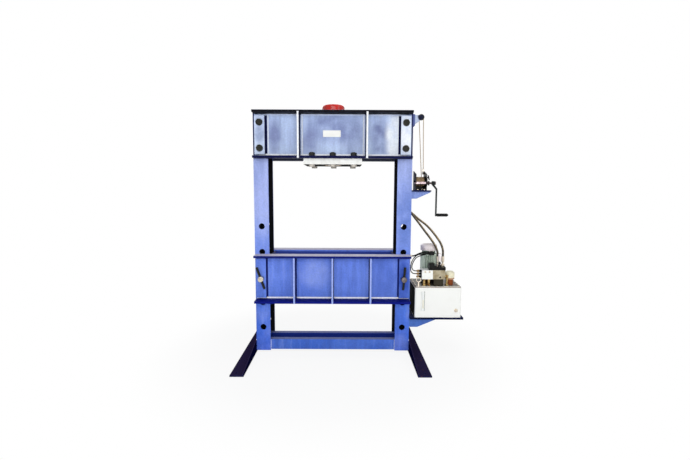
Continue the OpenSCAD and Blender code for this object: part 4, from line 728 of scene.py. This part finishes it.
def sweep(route, sides, radius_at, closed=False):
    """A tube along a route. radius_at gives the radius and the lay value at a length and an angle. Its UV
    map runs once round the tube, and over one row of the hose's weave in 8 mm of its length."""
    bm = bmesh.new()
    lay = bm.verts.layers.float.new("lay")
    strip = bm.loops.layers.uv.new("along")
    if closed:
        before, after = route[-1:] + route[:-1], route[1:] + route[:1]
    else:
        before, after = route[:1] + route[:-1], route[1:] + route[-1:]
    headings = [(second - first).normalized() for first, second in zip(before, after)]
    side = headings[0].orthogonal().normalized()
    walked, rings, lengths = 0.0, [], []
    for i, (point, heading) in enumerate(zip(route, headings)):
        if i:
            walked += (point - route[i - 1]).length
            side = (side - heading * side.dot(heading)).normalized()
        other = heading.cross(side)
        ring = []
        for k in range(sides):
            angle = 2 * math.pi * k / sides
            radius, value = radius_at(walked, angle)
            vert = bm.verts.new(point + radius * (math.cos(angle) * side + math.sin(angle) * other))
            vert[lay] = value
            ring.append(vert)
        rings.append(ring)
        lengths.append(walked / mm(8) * WEAVE_ROW)
    if closed:
        rings.append(rings[0])
        lengths.append(lengths[-1])
    for i in range(len(rings) - 1):
        for k in range(sides):
            n = (k + 1) % sides
            face = bm.faces.new((rings[i][k], rings[i][n], rings[i + 1][n], rings[i + 1][k]))
            for loop, (u, v) in zip(face.loops, ((k, i), (k + 1, i), (k + 1, i + 1), (k, i + 1))):
                loop[strip].uv = (u / sides, lengths[v])
    if not closed:
        bm.faces.new(list(reversed(rings[0])))
        bm.faces.new(rings[-1])
    return bm


def round_tube(radius):
    return lambda length, angle: (radius, 1.0)


def stranded(radius, strands, lay_mm):
    """Profile of a laid rope: strands that bulge and wind once round in one lay length."""
    def profile(length, angle):
        turn = angle * strands - 2 * math.pi * length / mm(lay_mm) * strands
        bulge = abs(math.cos(turn / 2))
        return radius * (0.8 + 0.2 * bulge), bulge
    return profile


# Operators

class PRESS_OT_stage(bpy.types.Operator):
    """Makes the pale floor, the soft lights, the white surround and the camera"""
    bl_idname = "press.stage"
    bl_label = "Stage"

    def execute(self, context):
        scene = context.scene
        scene.view_settings.view_transform = "Standard"
        lens = bpy.data.cameras.new("photo_camera")
        # 415.8 px of focal length on a frame 690 px wide, from a fit of the photograph's points
        lens.sensor_fit, lens.sensor_width, lens.lens = "HORIZONTAL", 36.0, 415.8 / 690 * 36
        lens.clip_end = 100
        camera = bpy.data.objects.new("photo_camera", lens)
        turn, down, roll = (math.radians(a) for a in (-0.09, 6.0, 0.26))
        camera.matrix_world = (
            Matrix.Translation(mm(96, -3554, 1414)) @ Matrix.Rotation(turn, 4, "Z")
            @ Matrix.Rotation(math.pi / 2 - down, 4, "X") @ Matrix.Rotation(roll, 4, "Z"))
        scene.collection.objects.link(camera)
        scene.camera = camera

        bm = bmesh.new()
        bmesh.ops.create_grid(bm, x_segments=8, y_segments=8, size=scene.press_sizes.floor)
        floor = new_piece("studio_floor", bm, [self.floor_paint()], smooth=False)

        self.surround(scene)
        # Places and sizes in metres, power in watts; all lamps look at the middle of the press
        middle = Vector((0.1, 0.0, 1.0))
        for name, place, size, power in (
                ("front_softbox", (0.1, -5.6, 2.1), (4.5, 3.2), 168),
                ("key_softbox", (0.1, -4.4, 1.9), (0.7, 0.6), 17),
                ("right_softbox", (3.8, -2.6, 2.4), (1.6, 2.2), 22),
                ("top_softbox", (0.2, -0.4, 4.8), (3.0, 2.4), 34),
                ("back_softbox", (-0.6, 5.2, 3.4), (4.0, 2.6), 90)):
            light = bpy.data.lights.new(name, "AREA")
            light.shape, light.size, light.size_y, light.energy = "RECTANGLE", size[0], size[1], power
            lamp = bpy.data.objects.new(name, light)
            lamp.visible_camera = False
            aim = middle - Vector(place)
            lamp.matrix_world = Matrix.Translation(place) @ aim.to_track_quat("-Z", "Y").to_matrix().to_4x4()
            scene.collection.objects.link(lamp)
        return {"FINISHED"}

    def floor_paint(self):
        """Matt white studio floor that keeps the shadow near the press and turns plain white further out."""
        material, tree, place = blank_material("matt_studio_floor")
        mottle = add(tree, "ShaderNodeTexNoise", {"Vector": place, "Scale": per(400), "Detail": 2.0})
        tone = lay_coats(tree, linear("#fbfcfc"), [(mottle, "#f6f8f8")])
        matt = add(tree, "ShaderNodeBsdfDiffuse", {"Color": tone})
        plain = add(tree, "ShaderNodeEmission", {"Color": (1, 1, 1, 1), "Strength": 1.0})
        away = add(tree, "ShaderNodeVectorMath", {0: place}, operation="LENGTH")
        far = add(tree, "ShaderNodeMapRange",
                  {"Value": away, "From Min": 0.9, "From Max": 1.7, "To Min": 0.88})
        share = add(tree, "ShaderNodeMath", {0: self.seen(tree), 1: far}, operation="MULTIPLY")
        return close_material(material, "ShaderNodeMixShader", {0: share, 1: matt, 2: plain})

    def seen(self, tree):
        """1 for what the camera sees, straight, in a reflection or through glass, and 0 for lighting."""
        ray = add(tree, "ShaderNodeLightPath").outputs
        near = add(tree, "ShaderNodeMath",
                   {0: ray["Is Camera Ray"], 1: ray["Is Glossy Ray"]}, operation="ADD")
        return add(tree, "ShaderNodeMath",
                   {0: near, 1: ray["Is Transmission Ray"]}, operation="ADD", use_clamp=True)

    def surround(self, scene):
        """Plain white behind the press, and a weaker light from all round."""
        world = bpy.data.worlds.new("studio_surround")
        world.use_nodes = True
        tree = world.node_tree
        tree.nodes.clear()
        strength = add(tree, "ShaderNodeMapRange", {"Value": self.seen(tree), "To Min": 0.26, "To Max": 1.0})
        back = add(tree, "ShaderNodeBackground", {"Color": (1, 1, 1, 1), "Strength": strength})
        add(tree, "ShaderNodeOutputWorld", {"Surface": back})
        scene.world = world


class PRESS_OT_cords(bpy.types.Operator):
    """Makes the two hydraulic hoses, the supply cable and the two switch leads"""
    bl_idname = "press.cords"
    bl_label = "Hoses and cables"

    def execute(self, context):
        sizes = context.scene.press_sizes
        for node, points, diameter, finish, stiffness, sides in (
                ("hose_extend", HOSE_EXTEND, sizes.hose, "hose_rubber", "stiff", 24),
                ("hose_retract", HOSE_RETRACT, sizes.hose, "hose_rubber", "stiff", 24),
                ("supply_cable", SUPPLY_CABLE, sizes.supply, "lead_rubber", "medium", 18),
                ("switch_lead_front", LEAD_FRONT, sizes.lead, "lead_rubber", "medium", 16),
                ("switch_lead_back", LEAD_BACK, sizes.lead, "lead_rubber", "medium", 16)):
            route = even_route(smooth_route(points), mm(4))
            tube = sweep(route, sides, round_tube(diameter / 2))
            cord = new_piece(node + "_cover", tube, [FINISHES[finish]])
            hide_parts(node)
            dress(cord, "hose_rubber")
            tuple(route[0])
            route_length(route)
        return {"FINISHED"}


class PRESS_OT_rope(bpy.types.Operator):
    """Makes the winch's wire rope from the drum over the sheave to its eye, and the turns on the drum"""
    bl_idname = "press.rope"
    bl_label = "Wire rope"

    def execute(self, context):
        diameter = context.scene.press_sizes.rope
        strands = stranded(diameter / 2, strands=6, lay_mm=38)
        route = even_route(smooth_route(ROPE), mm(2))
        rope = new_piece("wire_rope_strands", sweep(route, 24, strands), [FINISHES["wire_rope"]])
        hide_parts("wire_rope")
        dress(rope, "wire_rope")
        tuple(route[0])
        route_length(route)

        low, high = (Vector(p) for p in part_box("rope_coil"))
        centre = (low + high) / 2
        outer = (high.z - low.z) / 2 - diameter / 2
        turns, steps = int((high.x - low.x) / diameter), 72
        winding = []
        for k in range(turns * steps + 1):
            angle, pitches = 2 * math.pi * k / steps, 0.5 + (turns - 1) * k / (turns * steps)
            winding.append(Vector((low.x + diameter * pitches, centre.y + outer * math.cos(angle),
                                   centre.z + outer * math.sin(angle))))
        coil = new_piece("rope_winding", sweep(winding, 18, strands), [FINISHES["wire_rope"]])
        # A black cylinder inside the turns stands for the shade between them
        core = new_piece("rope_winding_core", self.core(low, high, centre, outer), [FINISHES["winch_black"]])
        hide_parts("rope_coil")
        dress(coil, "wire_rope", "drum")
        dress(core, "wire_rope", "drum")
        return {"FINISHED"}

    def core(self, low, high, centre, outer):
        """A black cylinder inside the turns, painted shade where the inner layers show between them."""
        bm = bmesh.new()
        place = Matrix.Translation(centre) @ Matrix.Rotation(math.pi / 2, 4, "Y")
        bmesh.ops.create_cone(bm, cap_ends=True, segments=48, radius1=outer, radius2=outer,
                              depth=high.x - low.x - mm(1), matrix=place)
        return bm


class PRESS_OT_welds(bpy.types.Operator):
    """Lays the weld beads of the beams, feet, ties and brackets"""
    bl_idname = "press.welds"
    bl_label = "Weld beads"

    def execute(self, context):
        sizes = context.scene.press_sizes
        growth = weld_growth()
        # Millimetres: the webs' faces, the gap at a rib, half the width of a rib with its beads, and the
        # seams along ribs and flanges
        web, gap, flank = 127, 9, 7
        head, bed, lower = [], [], []
        for y in (-web, web):
            for seam, ribs, low, high in ((head, (-273, 273), 1660, 1986), (bed, (-312, 0, 312), 479, 828)):
                seam.extend(((x, y, low), (x, y, high)) for rib in ribs for x in (rib - flank, rib + flank))
            for z in (1654, 1990):
                head += [((-545, y, z), (-273 - gap, y, z)), ((-273 + gap, y, z), (273 - gap, y, z)),
                         ((273 + gap, y, z), (545, y, z))]
            bed += [((first + gap, y, z), (second - gap, y, z)) for z in (473, 832)
                    for first, second in ((-550, -312), (-312, 0), (0, 312), (312, 550))]
        for side in (-1, 1):
            lower.append(((side * 651, -112, 105), (side * 651, 112, 105)))
            lower += [((side * 530, y, 24), (side * 530, y, 104)) for y in (-103, 103)]
        lower += [((664, y, 306), (905, y, 306)) for y in (-115, 115)]
        lower.append(((651, -112, 224), (651, 112, 224)))
        for name, lines in (("head_welds", head), ("bed_welds", bed), ("lower_welds", lower)):
            piece = new_piece(name, seams(lines), [])
            grow(piece, growth,
                 {"Bead radius": sizes.bead, "Ripple": sizes.ripple, "Finish": FINISHES["weld"]})
            dress(piece, "blue_paint")
        return {"FINISHED"}


class PRESS_OT_screws(bpy.types.Operator):
    """Puts screws on the tank lid, the terminal box, the valve and the fan cowl, and rivets on the plate"""
    bl_idname = "press.screws"
    bl_label = "Screws and rivets"

    def execute(self, context):
        up, front, lid_top = (0, 0, 1), (0, -1, 0), 584
        hexagon, pan = screw_growth(6), screw_growth(16)
        # Places in millimetres with the way each head points
        lid = [((x, -148, lid_top), up) for x in (752, 812, 872, 932, 992, 1052)]
        lid += [((x, 148, lid_top), up) for x in (705, 763, 821, 879, 937, 995, 1053)]
        lid += [((x, y, lid_top), up) for x in (702, 1062) for y in (-90, -30, 30, 90)]
        box = [((x, y, 867.4), up) for x in (820, 850) for y in (-82, -66)]
        valve = [((x, y, 746), up) for x, y in ((856, -138), (934, -138), (856, -104), (936, -108))]
        round_cowl = [(math.cos(a), math.sin(a)) for a in (math.pi * (k + 0.5) / 2 for k in range(4))]
        cowl = [((832 + 70.8 * x, 30 + 70.8 * y, 880), (x, y, 0)) for x, y in round_cowl]
        block = [((x, -150, 708), front) for x in (772, 808)]
        rivets = [((x, -128.4, z), front) for x in (-73, 56) for z in (1817, 1856)]
        winch = [((x, y, 1388), up) for x in (698, 753) for y in (-116, -2)]
        for name, places, growth, radius, height, washer, finish in (
                ("lid_screws", lid, hexagon, 5.5, 4.5, 7.5, "zinc"),
                ("box_screws", box, pan, 3.2, 2.2, 3.2, "zinc"),
                ("valve_screws", valve, pan, 5.0, 6.0, 5.0, "black_bolt"),
                ("cowl_screws", cowl, pan, 4.0, 2.5, 6.0, "zinc"),
                ("block_plugs", block, hexagon, 7.0, 3.0, 8.5, "zinc"),
                ("drain_plug", [((1034, -160, 383), front)], hexagon, 12.0, 10.0, 16.0, "zinc"),
                ("manifold_plug", [((896.8, -145, 662), front)], hexagon, 6.0, 3.0, 7.7, "black_bolt"),
                ("plate_rivets", rivets, pan, 2.6, 1.6, 2.6, "zinc"),
                ("winch_bolts", winch, hexagon, 7.0, 6.0, 10.0, "zinc")):
            piece = new_piece(name, studs(places), [])
            grow(piece, growth, {"Head radius": mm(radius), "Head height": mm(height),
                                 "Washer radius": mm(washer), "Finish": FINISHES[finish]})
            dress(piece, finish)
        return {"FINISHED"}


class PRESS_OT_plate(bpy.types.Operator):
    """Makes the bare white plate on the head"""
    bl_idname = "press.plate"
    bl_label = "Bare plate"

    def execute(self, context):
        bm = bmesh.new()
        centre, size = mm(-8.5, -127.7, 1836.5), mm(143, 1.4, 53)
        bmesh.ops.create_cube(bm, size=1, matrix=Matrix.Translation(centre) @ Matrix.Diagonal((*size, 1)))
        upright = [e for e in bm.edges if abs(e.verts[0].co.y - e.verts[1].co.y) > mm(1)]
        bmesh.ops.bevel(bm, geom=upright, offset=mm(1.5), segments=3, affect="EDGES")
        rim = [e for e in bm.edges if all(v.co.y < centre.y for v in e.verts)]
        bmesh.ops.bevel(bm, geom=rim, offset=mm(0.5), segments=2, affect="EDGES")
        dress(new_piece("bare_plate", bm, [FINISHES["white_paint"]], smooth=False), "white_paint")
        return {"FINISHED"}


class PRESS_OT_seals(bpy.types.Operator):
    """Makes the jointing bead round the tank lid and the rubber edge of the hose hole"""
    bl_idname = "press.seals"
    bl_label = "Seals"

    def execute(self, context):
        low, high = (Vector(p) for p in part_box("tank_lid"))
        corner, edge = mm(14), []
        for x, y, turn in ((high.x, high.y, 0), (low.x, high.y, 1), (low.x, low.y, 2), (high.x, low.y, 3)):
            centre = Vector((x, y, low.z + mm(1.6)))
            centre += Vector((corner if x == low.x else -corner, corner if y == low.y else -corner, 0))
            for k in range(9):
                angle = math.pi / 2 * (turn + k / 8)
                edge.append(centre + corner * Vector((math.cos(angle), math.sin(angle), 0)))
        # The hose hole in the right upright: the wall's outer face, the bead's radius and the hole's height
        wall, around, height, steps = 648.5, 48.5, 1203, 64
        turns = [2 * math.pi * k / steps for k in range(steps)]
        hole = [mm(wall, around * math.cos(a), height + around * math.sin(a)) for a in turns]
        for name, path, sides, radius, finish in (
                ("lid_joint", edge, 10, mm(2.2), "sealant"),
                ("hose_grommet", hole, 12, mm(4), "seal_rubber")):
            bead = sweep(path, sides, round_tube(radius), closed=True)
            dress(new_piece(name, bead, [FINISHES[finish]]), "seal_rubber")
        return {"FINISHED"}


class PRESS_OT_finishes(bpy.types.Operator):
    """Puts its finish on every CAD node that shows"""
    bl_idname = "press.finishes"
    bl_label = "Finishes"

    def execute(self, context):
        for finish, nodes in FINISH_OF.items():
            for node in nodes:
                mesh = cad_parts[node].data
                mesh.materials.clear()
                mesh.materials.append(FINISHES[finish])
        return {"FINISHED"}


class PRESS_PT_panel(bpy.types.Panel):
    bl_idname = "PRESS_PT_panel"
    bl_label = "Workshop press"
    bl_space_type = "VIEW_3D"
    bl_region_type = "UI"
    bl_category = "Press"

    def draw(self, context):
        for operator in OPERATORS:
            self.layout.operator(operator.bl_idname)
        for group in (context.scene.press_sizes, context.scene.press_colours):
            for name in group.__annotations__:
                self.layout.prop(group, name)


GROUPS = (PressSizes, PressColours)
OPERATORS = (PRESS_OT_stage, PRESS_OT_cords, PRESS_OT_rope, PRESS_OT_welds, PRESS_OT_screws, PRESS_OT_plate,
             PRESS_OT_seals, PRESS_OT_finishes)
FINISHES = {}


def register():
    for kind in GROUPS + OPERATORS + (PRESS_PT_panel,):
        bpy.utils.register_class(kind)
    bpy.types.Scene.press_sizes = bpy.props.PointerProperty(type=PressSizes)
    bpy.types.Scene.press_colours = bpy.props.PointerProperty(type=PressColours)


def unregister():
    del bpy.types.Scene.press_colours
    del bpy.types.Scene.press_sizes
    for kind in reversed(GROUPS + OPERATORS + (PRESS_PT_panel,)):
        bpy.utils.unregister_class(kind)


def main():
    register()
    FINISHES.update(make_finishes(bpy.context.scene.press_colours))
    for operator in OPERATORS:
        group, name = operator.bl_idname.split(".")
        getattr(getattr(bpy.ops, group), name)()


if __name__ == "__main__":
    main()
